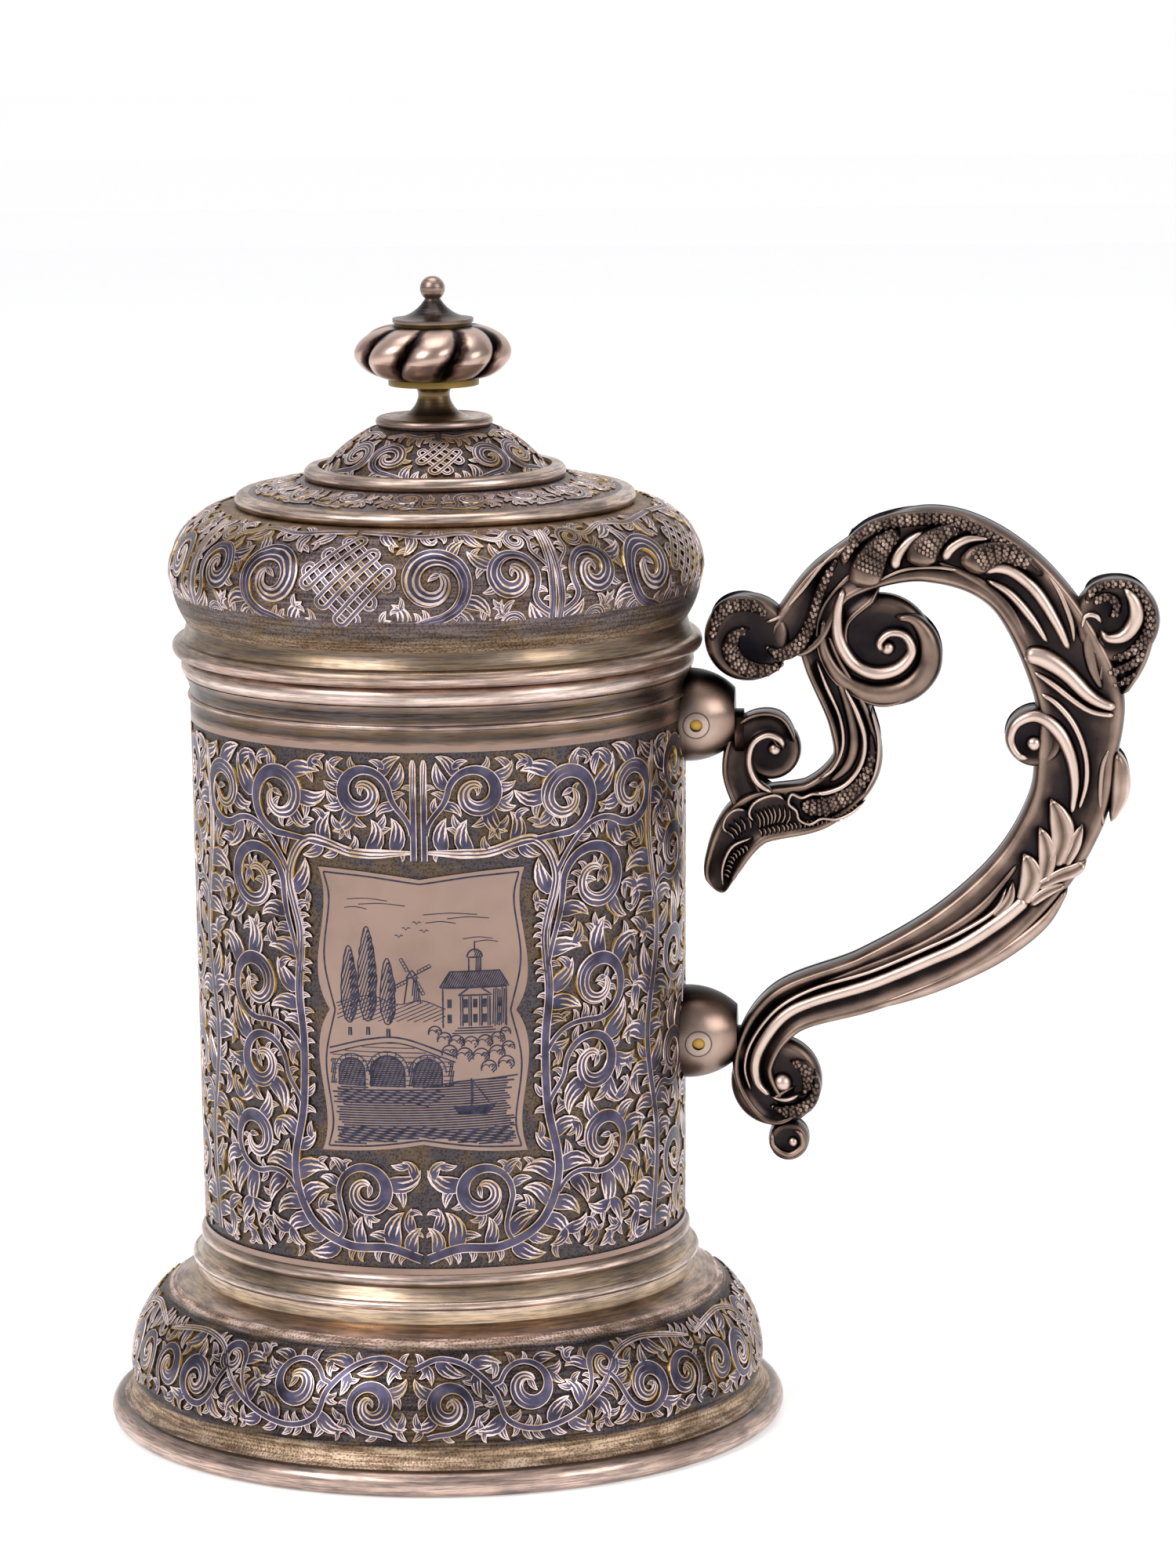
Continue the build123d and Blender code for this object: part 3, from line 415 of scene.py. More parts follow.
def wrap_tree():
    """Geometry nodes that repeat a flat pattern round a turned form, bent onto its outline."""
    inputs = {"Pattern": "Geometry", "Outline": "Object", "Repeats": "Int"}
    inputs |= {"Repeat Width": "Float", "Start Turn": "Float", "Finish": "Material"}
    tree, given = new_group("wrap_round", inputs, "Relief")
    step = add(tree, "CombineXYZ", {0: given["Repeat Width"]})
    row = {"Count": given["Repeats"], "Offset": step}
    row = add(tree, "GeometryNodeMeshLine", row, mode="OFFSET")
    laid = {"Points": row, "Instance": given["Pattern"]}
    laid = add(tree, "GeometryNodeInstanceOnPoints", laid)
    flat = add(tree, "GeometryNodeRealizeInstances", {0: laid})
    place = add(tree, "SeparateXYZ", {0: add(tree, "GeometryNodeInputPosition")}).outputs
    outline = add(tree, "GeometryNodeObjectInfo", {"Object": given["Outline"]})
    met = {"Curves": outline.outputs["Geometry"], "Length": place["Y"]}
    met = add(tree, "GeometryNodeSampleCurve", met, mode="LENGTH")
    spot = add(tree, "SeparateXYZ", {0: met.outputs["Position"]}).outputs
    way = add(tree, "SeparateXYZ", {0: met.outputs["Tangent"]}).outputs
    # the pattern's height goes out along the outline's normal
    radius = {0: way["Z"], 1: place["Z"], 2: spot["X"]}
    radius = add(tree, "Math", radius, operation="MULTIPLY_ADD")
    drop = add(tree, "Math", {0: way["X"], 1: place["Z"]}, operation="MULTIPLY")
    height = add(tree, "Math", {0: spot["Z"], 1: drop}, operation="SUBTRACT")
    # the pattern's length goes round the axis, from the front towards +X
    around = {0: given["Repeats"], 1: given["Repeat Width"]}
    around = add(tree, "Math", around, operation="MULTIPLY")
    turn = add(tree, "Math", {0: place["X"], 1: around}, operation="DIVIDE")
    turn = {0: turn, 1: 2 * math.pi, 2: given["Start Turn"]}
    turn = add(tree, "Math", turn, operation="MULTIPLY_ADD")
    sine = add(tree, "Math", {0: turn}, operation="SINE")
    x = add(tree, "Math", {0: radius, 1: sine}, operation="MULTIPLY")
    cosine = add(tree, "Math", {0: turn}, operation="COSINE")
    back = add(tree, "Math", {0: cosine, 1: -1.0}, operation="MULTIPLY")
    y = add(tree, "Math", {0: radius, 1: back}, operation="MULTIPLY")
    bent = add(tree, "CombineXYZ", {0: x, 1: y, 2: height})
    moved = add(tree, "GeometryNodeSetPosition", {"Geometry": flat, "Position": bent})
    painted = {"Geometry": moved, "Material": given["Finish"]}
    painted = add(tree, "GeometryNodeSetMaterial", painted)
    add(tree, "NodeGroupOutput", {"Relief": painted})
    return tree


def put(name, data):
    """An object in the scene for a mesh, a curve, a lamp or a camera."""
    made = bpy.data.objects.new(name, data)
    bpy.context.scene.collection.objects.link(made)
    return made


def grown_mesh(name, start, group, values):
    """The mesh that a geometry-nodes group makes of a start mesh with these inputs."""
    holder = put(name + "_start", start)
    maker = holder.modifiers.new("maker", "NODES")
    maker.node_group = group
    for socket in group.interface.items_tree:
        if socket.name in values:
            maker[socket.identifier] = values[socket.name]
    bpy.context.view_layer.update()
    graph = bpy.context.evaluated_depsgraph_get()
    mesh = bpy.data.meshes.new_from_object(holder.evaluated_get(graph))
    mesh.name = name
    bpy.data.objects.remove(holder)
    return mesh


WRAP = wrap_tree()
NIELLO = niello_silver("niello_filled_silver")


def wrap_round(name, flat, outline, repeats, width, start, body, finish=NIELLO):
    """Bends a flat relief onto a turned form, as a plain mesh that rides on its body.

    The outline's points are (r, z) in mm, a repeat's width is in mm, and start is in degrees.
    """
    curve = bpy.data.curves.new(name + "_outline", "CURVE")
    curve.dimensions = "3D"
    spline = curve.splines.new("POLY")
    spline.points.add(len(outline) - 1)
    for point, (r, z) in zip(spline.points, outline):
        point.co = (r * MM, 0, z * MM, 1)
    guide = put(name + "_outline", curve)
    values = {"Outline": guide, "Repeats": repeats, "Repeat Width": width * MM}
    values |= {"Start Turn": math.radians(start), "Finish": finish}
    relief = put(name, grown_mesh(name, flat, WRAP, values))
    bpy.data.objects.remove(guide)
    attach(relief, body)


def arc_line(start, end, radius, count=40):
    """Points (r, z) on the arc of this radius that bows outwards from start up to end."""
    (r0, z0), (r1, z1) = start, end
    chord = math.hypot(r1 - r0, z1 - z0)
    sink = math.sqrt(radius**2 - chord**2 / 4)
    middle = ((r0 + r1) / 2 - sink * (z1 - z0) / chord, (z0 + z1) / 2 + sink * (r1 - r0) / chord)
    first = math.atan2(z0 - middle[1], r0 - middle[0])
    last = math.atan2(z1 - middle[1], r1 - middle[0])
    turns = np.linspace(first, last, count)
    return [(middle[0] + radius * math.cos(a), middle[1] + radius * math.sin(a)) for a in turns]


skirt_run, skirt_rise = 55.15 - 47.3, 24.7 - 10.5
skirt_line = [(55.15, 8.3)] + arc_line(
    (55.15, 10.5), (47.3, 24.7), (skirt_run**2 + skirt_rise**2) / (2 * skirt_run)
)
skirt_vines = [
    stem([
        (0.8, 13), (5, 14.8), (10, 13.4), (14.5, 9), (16.5, 4.2), (21.5, 2.4), (28, 4), (34, 8),
        (38.5, 13.2), (44, 15), (50, 14.6), (56.8, 13),
    ], 0.5),
    scroll((3, 1.4), 20, (6.6, 6.6), 4.2, -50, 1),
    scroll((14.2, 9.6), 85, (20.6, 9.6), 4.9, 165, -1),
    scroll((29.5, 4.6), 60, (35.4, 11.8), 3.0, 180, -1, half=0.8),
    scroll((36, 10), -50, (43.4, 6.8), 4.3, -110, 1),
    scroll((56, 1.6), 150, (52.4, 7.2), 4.2, -40, 1),
]
wrap_round(
    "foot_scrollwork",
    flat_relief("foot_scrolls", grow(57.6, 16.4, skirt_vines, 3), 0.42),
    skirt_line,
    repeats=3,
    width=115.2,
    start=-2,
    body="tankard",
)

# ---------------------------------------------------------------------------------------------
# Plinth moulding: a turned ring over the skirt's flange, with a gilt cove, a ridge and a bead. It
# carries the drum, which sits inside it on a soldered neck.

plinth_colours = [(24.7, "#cdb0a2"), (25.5, "#b89d86"), (27.6, "#d6bb9d"), (29.4, "#f4dfd5")]
plinth_colours += [(30.6, "#cfb498"), (32.2, "#93806f"), (33.4, "#e4cabd"), (34.6, "#b29b8b")]
plinth_silver = turned_silver("turned_silver_plinth", 24.7, 34.6, plinth_colours, gilt=0.3)
dress("plinth_moulding", plinth_silver)

# ---------------------------------------------------------------------------------------------
# Drum: the straight body, rolled from sheet and seamed, with a sunk and punched field between
# plain borders. The reserve at the front is left smooth and polished.


def reopen(made):
    """A finish taken up again: its tree, shader and colour so far, and the place on the object."""
    tree = made.node_tree
    shader = tree.nodes["Principled BSDF"]
    plain = shader.inputs["Base Color"].links[0].from_socket
    return tree, shader, plain, add(tree, "TexCoord").outputs["Object"]


# the drum's face: heights of its two ends and the radii there, in mm
FACE_LOW, FACE_HIGH, RADIUS_LOW, RADIUS_HIGH = 34.6, 125.3, 42.15, 42.9


def drum_finish():
    """The drum's borders and reserve are polished; the field 0.4 mm below is punched ground."""
    made = punched_ground("chased_silver_drum", 24.7, 135.15, [(35.0, GROUND), (124.0, GROUND)])
    tree, shader, sunk, place = reopen(made)
    split = add(tree, "SeparateXYZ", {0: place}).outputs
    flat = add(tree, "CombineXYZ", {0: split["X"], 1: split["Y"]})
    radius = add(tree, "VectorMath", {0: flat}, operation="LENGTH")
    face = {"Value": split["Z"], "From Min": FACE_LOW * MM, "From Max": FACE_HIGH * MM}
    face |= {"To Min": RADIUS_LOW * MM, "To Max": RADIUS_HIGH * MM}
    face = add(tree, "MapRange", face)
    proud = add(tree, "Math", {0: radius, 1: face}, operation="SUBTRACT")
    top = add(tree, "MapRange", {"Value": proud, "From Min": -0.2 * MM, "From Max": -0.1 * MM})
    # the polished silver is a little lighter and darker in clouds about 17 mm across
    cloud = add(tree, "TexNoise", {"Vector": place, "Scale": 60.0, "Detail": 5.0})
    skin = [(0.3, "#8d766b"), (0.5, "#9c8478"), (0.7, "#937d74")]
    polished = add(tree, "ValToRGB", {"Fac": cloud}, skin)
    colour = add(tree, "Mix", {0: top, 6: sunk, 7: polished}, data_type="RGBA")
    dull = add(tree, "MapRange", {"Value": top, "To Min": 0.5, "To Max": 0.3})
    fill(shader, {"Base Color": colour, "Roughness": dull})
    rough = add(tree, "MapRange", {"Value": top, "To Min": 0.7, "To Max": 0.0})
    fill(shader.inputs["Normal"].links[0].from_node, {"Strength": rough})
    return made


dress("drum", drum_finish())

# the vines run on the flat field: x goes round from the front's middle, y up from its lower edge
drum_line = [(41.754, 35.7), (42.488, 124.3)]
main_stem = [(0.6, 1.6), (6, 3.4), (13.5, 3.6), (20.5, 7.5), (23.6, 16), (21.6, 27), (21.2, 38)]
main_stem += [(22, 47), (21.4, 57), (23.5, 67), (19.5, 73.2), (11, 71.4), (1.5, 71.6)]
drum_vines = [
    stem([(131.9, 1.5), (131.9, 44), (131.9, 87)], 0.5),
    stem([(0.9, 70.2), (0.9, 76), (0.9, 83), (0.9, 87.4)], 0.5),
    stem(main_stem, 0.75),
    scroll((1.2, 74.5), 84, (9.6, 81.6), 4.7, 172, -1),
    scroll((11, 71.4), 12, (25.5, 80), 6.2, -85, 1),
    scroll((23.5, 67), 62, (40, 79.6), 6.0, -120, 1),
    scroll((21.6, 50), 82, (31.5, 65.3), 6.7, 178, -1),
    scroll((21.2, 36), 62, (32, 47.2), 6.2, -95, 1),
    scroll((21.6, 27), 70, (30.8, 33.6), 5.8, 175, -1),
    scroll((23.5, 12), 60, (33, 20), 5.8, -110, 1),
    scroll((15.5, 4.2), 140, (10, 13), 5.2, -10, 1),
]
HALF_ROUND = 132.6  # mm from the front's middle to the back's, round the field
for number, x in enumerate(np.arange(46.0, HALF_ROUND - 4, 17.4)):
    sway = [(0, 1.5), (1.6, 18), (-1.6, 36), (1.6, 54), (-1.2, 72), (0, 87)]
    drum_vines.append(stem([(x + across, y) for across, y in sway]))
    for row, y in enumerate((5, 23, 41, 59, 74)):
        side = 1 if row % 2 else -1
        eye_x = x + side * 8.2
        if (number or side > 0) and eye_x < HALF_ROUND - 5:
            eye, enter = (eye_x, y + 8.2), -90 - side * 30
            drum_vines.append(scroll((x, y), 90 - side * 28, eye, 5.4, enter, side))


def reserve_ground(x, y):
    """The reserve, which the leaves keep clear of."""
    return (x < 18.9) & (y > 18.6) & (y < 69.9)


leaf_sizes = (7.5, 6, 4.8, 3.8, 3.0, 2.4, 1.9)
drum_scrolls = grow(HALF_ROUND, 88.6, drum_vines, 5, leaf_sizes, reserve_ground)
# the front and the back are two pieces, so that neither grows too heavy
for name, kept in (("drum_scrollwork_front", True), ("drum_scrollwork_back", False)):
    part = [s for s in drum_scrolls if (s[0][0, 0] < 62) == kept]
    relief = flat_relief(name, part, 0.43)
    wrap_round(name, relief, drum_line, 1, 2 * HALF_ROUND, 0, "tankard")

# ---------------------------------------------------------------------------------------------
# Reserve: a burin cut a view of no real place into the polished silver, a manor above a river with
# poplars, a mill and a bridge, inside a border line. The cuts are filled with niello, rubbed flush.

cuts = []
burin = np.random.default_rng(11)
RESERVE_MIDDLE = 44.25  # mm up from the field's lower edge


def cut(points, half=0.11):
    """One filled stroke through points that are measured from the reserve's middle, in mm."""
    spots = np.array(points, float)
    runs = [
        np.linspace(a, b, 1 + int(np.linalg.norm(b - a) / 0.9), endpoint=False)
        for a, b in zip(spots, spots[1:])
    ]
    line = np.vstack(runs + [spots[-1:]])
    cuts.append((line + [0, RESERVE_MIDDLE], np.full(len(line), 1.3 * half), 1.0))


def hatch(outline, gap, lean, half=0.1, uneven=0.5):
    """Parallel strokes over a flat shape, their ends left uneven as by hand."""
    c, s = math.cos(math.radians(lean)), math.sin(math.radians(lean))
    shape = np.array(outline, float) @ np.array([[c, -s], [s, c]])
    for level in np.arange(shape[:, 1].min() + gap / 2, shape[:, 1].max(), gap):
        met = sorted(
            a[0] + (level - a[1]) / (b[1] - a[1]) * (b[0] - a[0])
            for a, b in zip(shape, np.roll(shape, -1, 0))
            if (a[1] > level) != (b[1] > level)
        )
        for x0, x1 in zip(met[::2], met[1::2]):
            x0, x1 = x0 + uneven * burin.random(), x1 - uneven * burin.random()
            if x1 - x0 > 0.25:
                cut([(x * c - level * s, x * s + level * c) for x in (x0, x1)], half)


def arch(x, z, radius, start=0, end=180, count=14):
    """Points round an arc, its angles in degrees."""
    turns = np.radians(np.linspace(start, end, count))
    return [(x + radius * math.cos(a), z + radius * math.sin(a)) for a in turns]


# the border runs 0.75 mm inside the reserve's edge
side_edge = [(16.7, 23.6), (15.8, 18.8), (16.9, 8.8), (15.05, 0)]
head_edge = [(16.7, 23.6), (8.7, 23.15), (0, 22.0)]
for run in (side_edge, head_edge):
    line = run_through(run, 0.6)
    for turned in ((1, 1), (-1, 1), (1, -1), (-1, -1)):
        cut(line * turned, 0.13)

# sky: long thin strokes for cloud, and birds
for x, z, long in (
    (-9, 19.2, 7), (-6.5, 18.4, 8), (-11, 17.7, 4), (5, 16.8, 9), (8, 16.1, 7), (3.4, 15.4, 5),
    (9.6, 12.6, 5), (11, 12, 4),
):
    cut(run_through([(x - long / 2, z), (x, z + 0.25), (x + long / 2, z - 0.1)], 0.8), 0.07)
for x, z in ((-2.4, 14.2), (-0.6, 15.2), (0.6, 13.8), (-3.6, 12.9)):
    bird = [(-0.7, 0.35), (-0.3, 0.4), (0, 0), (0.35, 0.42), (0.75, 0.3)]
    cut([(x + across, z + up) for across, up in bird], 0.08)

# far hills and the mill
far_hills = run_through([(-14.8, 1.2), (-9, 2.8), (-4, 1.4), (0, 2.1), (4, 0.6)], 0.6).tolist()
cut(far_hills, 0.08)
hatch(far_hills + [(4, -1.6), (-14.8, -1.6)], 0.62, 24, 0.07)
mill = [(-2.9, 1.6), (-2.2, 6), (-0.8, 6), (-0.1, 1.6)]
cut(mill)
hatch([(-1.5, 1.6), (-1.5, 6), (-0.8, 6), (-0.1, 1.6)], 0.34, 84)
cut([(-2.5, 6), (-1.5, 7.3), (-0.5, 6), (-2.5, 6)], 0.12)
for turned in (28, 118, 208, 298):
    c, s = math.cos(math.radians(turned)), math.sin(math.radians(turned))
    # a sail is a spar with a frame and cross bars on one side, given here as (along, beside)
    sail = [([(0, 0), (3.6, 0)], 0.1), ([(1.2, 0.5), (3.6, 0.5), (3.6, 0)], 0.07)]
    sail += [([(reach, 0), (reach, 0.5)], 0.06) for reach in (1.2, 1.8, 2.4, 3.0)]
    for run, half in sail:
        cut([(-1.5 + a * c - b * s, 6.2 + a * s + b * c) for a, b in run], half)

# manor: block, wings, a columned porch under a pediment, a hipped roof and a lantern
cut([(3.6, -2.6), (3.6, 4.2), (14.3, 4.2), (14.3, -2.6)], 0.12)
hatch([(11.9, -2.6), (11.9, 4.2), (14.3, 4.2), (14.3, -2.6)], 0.36, 88, 0.1)
hatch([(3.1, 4.3), (4.8, 7), (13.2, 7), (14.8, 4.3)], 0.36, 62, 0.12, 0.1)
cut([(3.1, 4.3), (14.8, 4.3), (13.2, 7), (4.8, 7), (3.1, 4.3)], 0.12)
cut([(8, 7), (8, 9.4), (10, 9.4), (10, 7)], 0.12)
hatch([(9.1, 7), (9.1, 9.4), (10, 9.4), (10, 7)], 0.32, 88, 0.1, 0.1)
cut([(7.7, 9.4)] + arch(9, 9.5, 1.25)[::-1] + [(10.3, 9.4)], 0.12)
hatch(arch(9, 9.5, 1.25, 0, 100) + [(9, 9.5)], 0.34, 60, 0.1, 0.1)
cut([(9, 10.7), (9, 12.2)], 0.1)
cut([(6.2, 2.9), (11.8, 2.9), (9, 4.9), (6.2, 2.9)], 0.13)
for x in (6.7, 8.1, 9.9, 11.3):
    cut([(x - 0.16, -2.4), (x - 0.16, 2.7)], 0.08)
    cut([(x + 0.2, -2.4), (x + 0.2, 2.7)], 0.12)
for x in (4.7, 7.4, 9, 10.6, 13.1):
    for z in (-1.8, 0.8):
        pane = [(x - 0.38, z), (x - 0.38, z + 1.5), (x + 0.38, z + 1.5), (x + 0.38, z)]
        hatch(pane, 0.24, 0, 0.12, 0)
for drop in (0, 0.45, 0.9):
    cut([(6 - drop, -2.7 - drop), (12 + drop, -2.7 - drop)], 0.1)

# poplars, dark on their right
for x, foot, top, wide in ((-12.4, -3.6, 11, 1.5), (-9.2, -3.4, 14.6, 1.7), (-5.7, -3.6, 9, 1.35)):
    turns = np.linspace(0, 2 * math.pi, 44)
    ragged = wide * (1 + 0.24 * burin.random(44))
    middle, tall = (foot + top) / 2 + 0.9, (top - foot) * 0.45
    # the crown narrows upwards
    narrow = 1.05 - 0.42 * (0.5 + 0.5 * np.sin(turns))
    crown = list(zip(x + ragged * np.cos(turns) * narrow, middle + tall * np.sin(turns)))
    cut(crown, 0.1)
    hatch(crown, 0.5, 72, 0.1, 0.6)
    hatch([p for p in crown if p[0] > x + 0.1], 0.42, 58, 0.13, 0.2)
    cut([(x - 0.2, foot - 0.6), (x - 0.15, foot + 0.8)], 0.12)
    cut([(x + 0.25, foot - 0.6), (x + 0.2, foot + 0.8)], 0.16)

# bushes under the manor and along the bank
for x, z, size in (
    (2.2, -3.4, 1.1), (3.8, -4.6, 1.2), (5.8, -5.2, 1.3), (8.2, -5.4, 1.2), (10.6, -5.3, 1.3),
    (12.8, -4.8, 1.2), (14.1, -3.8, 0.9), (4.6, -6.9, 1.3), (7.1, -7.5, 1.4), (9.9, -7.7, 1.4),
    (12.6, -7.3, 1.4), (14.6, -6.4, 1.1), (11.2, -9.7, 1.3), (14.2, -9.2, 1.4),
):
    cut(arch(x, z, size, -20, 200, 12), 0.11)
    cut(arch(x - size * 0.4, z - 0.1, size * 0.5, 10, 170, 7), 0.08)
    cut(arch(x + size * 0.45, z, size * 0.45, 0, 160, 7), 0.08)
    hatch(arch(x, z, size * 0.95, -60, 60, 8) + [(x + 0.1, z)], 0.36, 50, 0.11)

# bridge: three arches, the stone lit from the left
deck = run_through([(-16.2, -6.6), (-9, -4.7), (-3, -4.5), (5.6, -7.6)], 0.8).tolist()
cut(deck, 0.13)
cut([(x, z - 0.95) for x, z in deck], 0.1)
piers = [(-16, -12.9)]
for x, radius in ((-12.2, 2.3), (-5.9, 2.9), (0.9, 2.4)):
    opening = [(x - radius, -12.9)] + arch(x, -10.4, radius)[::-1] + [(x + radius, -12.9)]
    piers += opening
    cut(opening, 0.14)
    cut(arch(x, -10.4, radius + 0.75), 0.09)
    for turned in range(15, 180, 25):
        c, s = math.cos(math.radians(turned)), math.sin(math.radians(turned))
        cut([(x + r * c, -10.4 + r * s) for r in (radius, radius + 0.75)], 0.07)
    hatch(opening, 0.36, 0, 0.12, 0.1)
    hatch(opening, 0.7, 68, 0.1, 0.1)
piers += [(5.4, -12.9)]
hatch(piers + [(x, z - 1) for x, z in deck[::-1]], 0.8, 0, 0.07, 0.8)
for x in (-16, -9.1, -2.3, 4.4):
    hatch([(x, -12.8), (x, -8.4), (x + 0.9, -8.4), (x + 0.9, -12.8)], 0.34, 80, 0.1, 0.2)

# the river, darkest under the bridge and along the foot, and a boat
bank = [(-16, -12.9), (-8, -13.1), (0, -12.9), (6, -11.9), (11, -11.6), (16.2, -11.2)]
cut(bank[2:], 0.12)
water = bank + [
    (15.7, -18), (16.3, -23.2), (8, -22.7), (0, -21.6), (-8, -22.7), (-16.3, -23.2), (-15.4, -18),
]
hatch(water, 0.44, 1.5, 0.12, 2.2)
hatch([(-15.8, -13.2), (5, -13.2), (2, -16.4), (-6, -15.6), (-15, -16.8)], 0.6, -14, 0.1, 1.5)
hatch([
    (-16, -20), (-3, -19.4), (6, -20.2), (16, -19.2), (16.1, -23), (8, -22.6), (0, -21.6),
    (-8, -22.6), (-16.1, -23),
], 0.55, -11, 0.12, 1.5)
hull = [(5.2, -16.2), (6.2, -17.5), (10.8, -17.5), (12.4, -15.9), (9, -16.5)]
cut(hull + hull[:1], 0.16)
hatch(hull, 0.26, 0, 0.14, 0)
cut([(8.2, -16.4), (8.2, -11.4)], 0.12)
cut([(8.4, -11.8), (8.4, -15.8), (11.2, -15.6), (8.4, -11.8)], 0.1)


def niello_line():
    """Niello in fine cuts: a blue-black sulphide, dull beside the silver."""
    made, tree, shader, place = new_metal("niello_in_engraving")
    # it is mottled about every millimetre, as a filled cut is
    cloud = add(tree, "TexNoise", {"Vector": place, "Scale": 900.0, "Detail": 3.0})
    colour = add(tree, "ValToRGB", {"Fac": cloud}, [(0.3, "#2f2f3a"), (0.7, "#4c4b5c")])
    dull = add(tree, "MapRange", {"Value": cloud, "To Min": 0.35, "To Max": 0.6})
    fill(shader, {"Base Color": colour, "Roughness": dull})
    return made


wrap_round(
    "reserve_engraving",
    flat_relief("reserve_view", [], 0.425, cuts),
    drum_line,
    repeats=1,
    width=2 * HALF_ROUND,
    start=0,
    body="tankard",
    finish=niello_line(),
)

# ---------------------------------------------------------------------------------------------
# Drum floor: the flat bottom of the cup, a plain disc of gilt sheet silver soldered inside the
# drum. Use and washing have left it dull, with only a little of its gilding.

inside_colours = [(20, "#94867c"), (140, "#a3958a")]
inside = turned_silver("plain_silver_inside", 20, 140, inside_colours, gilt=0.35, soot=0.3)
dress("drum_floor", inside)

# ---------------------------------------------------------------------------------------------
# Mouth moulding and lip: two turned rings on the drum's neck. The bead and the lip are rubbed
# bright by the lid; the hollows between them are dark.

mouth_colours = [(125.3, "#b8998a"), (126.3, "#46392f"), (127.6, "#7d6550"), (128.4, "#d5b9ac")]
mouth_colours += [(129.3, "#564840"), (130.8, "#332b27"), (132.05, "#a58a7d")]
mouth_silver = turned_silver("turned_silver_mouth", 125.3, 132.05, mouth_colours, gilt=0.2)
dress("mouth_moulding", mouth_silver)
lip_colours = [(132.05, "#a58a7d"), (133.2, "#f0dacf"), (135.15, "#c9ad9f")]
lip_silver = turned_silver("rubbed_silver_lip", 132.05, 135.15, lip_colours, gilt=0.12, soot=0.35)
dress("mouth_lip", lip_silver)

# ---------------------------------------------------------------------------------------------
# Handle sockets: two domed cups soldered on the drum's side, each with a collar, and inside them
# the tongues that the handle stands on. A brass pin with a filed head goes through each.


def worn_metal(name, bright, dark, reach):
    """Cast, stamped or filed metal: bright where hands rub it, near-black in the hollows as painted
    shade.
    """
    made, tree, shader, place = new_metal(name)
    # painted shade: ambient occlusion within reach darkens the colour in hollows and next to other
    # parts
    occlusion_shade = add(tree, "AmbientOcclusion", {"Distance": reach * MM}, samples=8).outputs["AO"]
    # hands have worn it in patches about 7 mm across
    cloud = add(tree, "TexNoise", {"Vector": place, "Scale": 140.0, "Detail": 5.0})
    worn = add(tree, "Math", {0: cloud, 1: 0.5, 2: occlusion_shade}, operation="MULTIPLY_ADD")
    share = add(tree, "MapRange", {"Value": worn, "From Min": 0.75, "From Max": 1.3})
    colour = add(tree, "Mix", {0: share, 6: dark, 7: bright}, data_type="RGBA")
    dulled = {"Value": cloud, "From Min": 0.3, "From Max": 0.7, "To Min": 0.26, "To Max": 0.42}
    dull = add(tree, "MapRange", dulled)
    # fine scratches and pits 0.7 mm apart, coarser than real ones so that they show
    fine = add(tree, "TexNoise", {"Vector": place, "Scale": 1500.0, "Detail": 3.0})
    bump = add(tree, "Bump", {"Height": fine, "Strength": 0.2, "Distance": 0.05 * MM})
    fill(shader, {"Base Color": colour, "Roughness": dull, "Normal": bump})
    return made


# the middles of the two pins, which run along Y
PIN_PLACES = [(45 * MM, 0, 123.1 * MM), (45 * MM, 0, 67.2 * MM)]


def socket_finish():
    """The sockets' silver, with a bright ring round each pin head, a painted highlight, and painted
    shade towards each dome's edge.
    """
    made = worn_metal("worn_silver_socket", "#c3aca0", "#1e1a1a", 6.5)
    tree, shader, plain, place = reopen(made)
    reach = []
    for pin in PIN_PLACES:
        away = add(tree, "VectorMath", {0: place, 1: pin}, operation="SUBTRACT")
        away = add(tree, "VectorMath", {0: away, 1: (1, 0, 1)}, operation="MULTIPLY")
        reach.append(add(tree, "VectorMath", {0: away}, operation="LENGTH"))
    nearest = add(tree, "Math", dict(enumerate(reach)), operation="MINIMUM")
    # near the pin a bright ring, a painted highlight, between two darker rings, and further out the
    # painted shade of the dome's edge
    ring = [(0.04, "#4a3f3a"), (0.14, "#ffffff"), (0.56, "#ffffff")]
    ring += [(0.62, "#4a3d36"), (0.74, "#f2efec")]
    edge = [(0.0, "#ffffff"), (0.5, "#ded5cf"), (0.85, "#6b5d57"), (1.0, "#3a322f")]
    colour = plain
    for start, end, stops in ((0.9, 3.0, ring), (3.2, 8.2, edge)):
        share = {"Value": nearest, "From Min": start * MM, "From Max": end * MM}
        shade = add(tree, "ValToRGB", {"Fac": add(tree, "MapRange", share)}, stops)
        tinted = {0: 1.0, 6: colour, 7: shade}
        colour = add(tree, "Mix", tinted, data_type="RGBA", blend_type="MULTIPLY")
    fill(shader, {"Base Color": colour})
    return made


socket_silver = socket_finish()
for name in ("socket", "collar", "tongue"):
    dress("upper_" + name, socket_silver)
    dress("lower_" + name, socket_silver)
pin_brass = worn_metal("filed_brass_pin", "#b8924a", "#6d5226", 1.0)
for name in ("upper_pin", "lower_pin"):
    dress(name, pin_brass)

# ---------------------------------------------------------------------------------------------
# Handle: two stamped and chased halves, soldered on a seam in the plane of the scrolls. Straps with
# sunk hollows carry ridges, punched lobes and leaves; hands polish what stands proud of them. Their
# colour also holds painted highlights on what stands proud and painted shade in the hollows.


def both_ways(places, levels, wear_and_light_shares):
    """A member's section as places, heights and brightness (wear and painted shading), given from
    its middle out and mirrored.
    """
    return [-p for p in places[:0:-1]] + places, levels[:0:-1] + levels, wear_and_light_shares[:0:-1] + wear_and_light_shares
